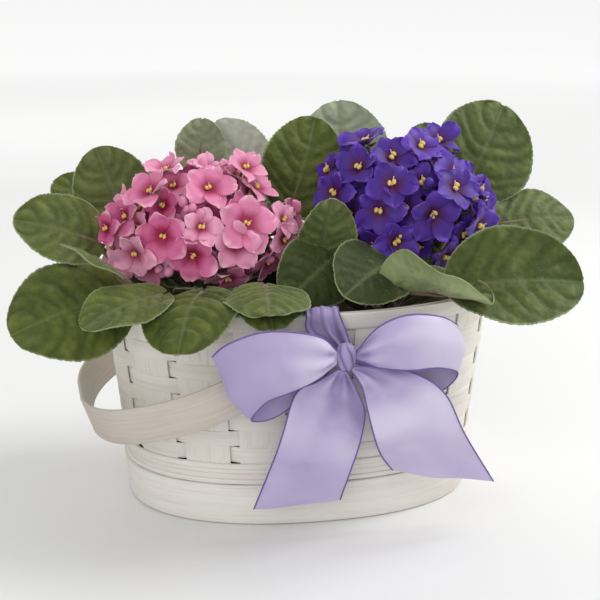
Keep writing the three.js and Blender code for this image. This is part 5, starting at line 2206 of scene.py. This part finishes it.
@dataclass
class Studio:
    """Camera, soft lights and the pale floor."""

    place: Triple = (-0.147425, -0.847606, 0.358695)
    aim: Triple = (0.16692, 0.94666, -0.27564)
    lens: float = 90.0
    sensor: float = 36.0
    far_clip: float = 60.0
    floor_half: float = 9.0
    floor_level: float = -0.0004
    floor_tone: Colour = (0.815, 0.815, 0.81)
    glow_span: Pair = (0.9, 2.0)
    far_glow: float = 0.44
    air: float = 0.58
    target: Triple = (0.0, 0.0, 0.12)
    lamps: tuple[Lamp, ...] = (
        Lamp("key", (0.95, 0.10, 1.05), 0.7, 11.5),
        Lamp("fill", (-0.6, -1.2, 0.8), 1.3, 6.8),
        Lamp("back", (-0.2, 1.2, 0.9), 1.2, 4.0))

    def make(self) -> None:
        """Makes the studio."""
        camera = link("camera", bpy.data.cameras.new("camera"))
        camera.data.lens = self.lens
        camera.data.sensor_width = self.sensor
        camera.data.clip_end = self.far_clip
        camera.location = self.place
        camera.rotation_euler = Vector(self.aim).to_track_quat("-Z", "Y").to_euler()
        bpy.context.scene.camera = camera
        self.make_floor()
        for lamp in self.lamps:
            self.light(lamp)
        world = bpy.data.worlds.new("studio")
        world.use_nodes = True
        world.node_tree.nodes["Background"].inputs[0].default_value = (1.0, 1.0, 1.0, 1)
        world.node_tree.nodes["Background"].inputs[1].default_value = self.air
        bpy.context.scene.world = world
        bpy.context.scene.view_settings.view_transform = "Standard"

    def make_floor(self) -> None:
        """Lays the pale floor, which glows towards the distance."""
        h, z = self.floor_half, self.floor_level
        mesh = bpy.data.meshes.new("floor")
        mesh.from_pydata([(-h, -h, z), (h, -h, z), (h, h, z), (-h, h, z)], [], [(0, 1, 2, 3)])
        paint = Paint("pale floor", 0.6, Base_Color=(*self.floor_tone, 1), Emission_Color=(1, 1, 1, 1))
        own = paint.node("ShaderNodeTexCoord")
        away = paint.node("ShaderNodeVectorMath", {0: own.outputs["Object"]}, operation="LENGTH")
        glow = paint.span(away.outputs["Value"], self.glow_span, (0.0, self.far_glow))
        paint.tree.links.new(glow, paint.shader.inputs["Emission Strength"])
        mesh.materials.append(paint.material)
        floor = link("floor", mesh)

    def light(self, lamp: Lamp) -> None:
        """Adds one light, aimed at the object.

        Args:
            lamp: The light.
        """
        data = bpy.data.lights.new(lamp.name, "AREA")
        data.size = lamp.size
        data.energy = lamp.power
        made = link(lamp.name, data)
        made.location = lamp.place
        made.rotation_euler = (Vector(self.target) - Vector(lamp.place)).to_track_quat("-Z", "Y").to_euler()


def main() -> None:
    """Builds the studio and the object."""
    logging.basicConfig(level=logging.INFO, format="%(message)s")
    Studio().make()
    palette = Palette()
    Basket(palette).make()
    Handle(palette).make()
    Pots(palette).make()
    Foliage("pink", -53.0, PINK_LEAVES, palette.pink_leaf, palette).make()
    Foliage("purple", 53.0, PURPLE_LEAVES, palette.purple_leaf, palette, seed=9).make()
    Flowers("pink", -53.0, PINK_HEAD, palette.pink_petal, Slot.PINK, palette).make()
    Flowers("purple", 53.0, PURPLE_HEAD, palette.purple_petal, Slot.PURPLE, palette,
            anther_size=1.1, seed=27).make()
    Bow(palette).make()


if __name__ == "__main__":
    main()
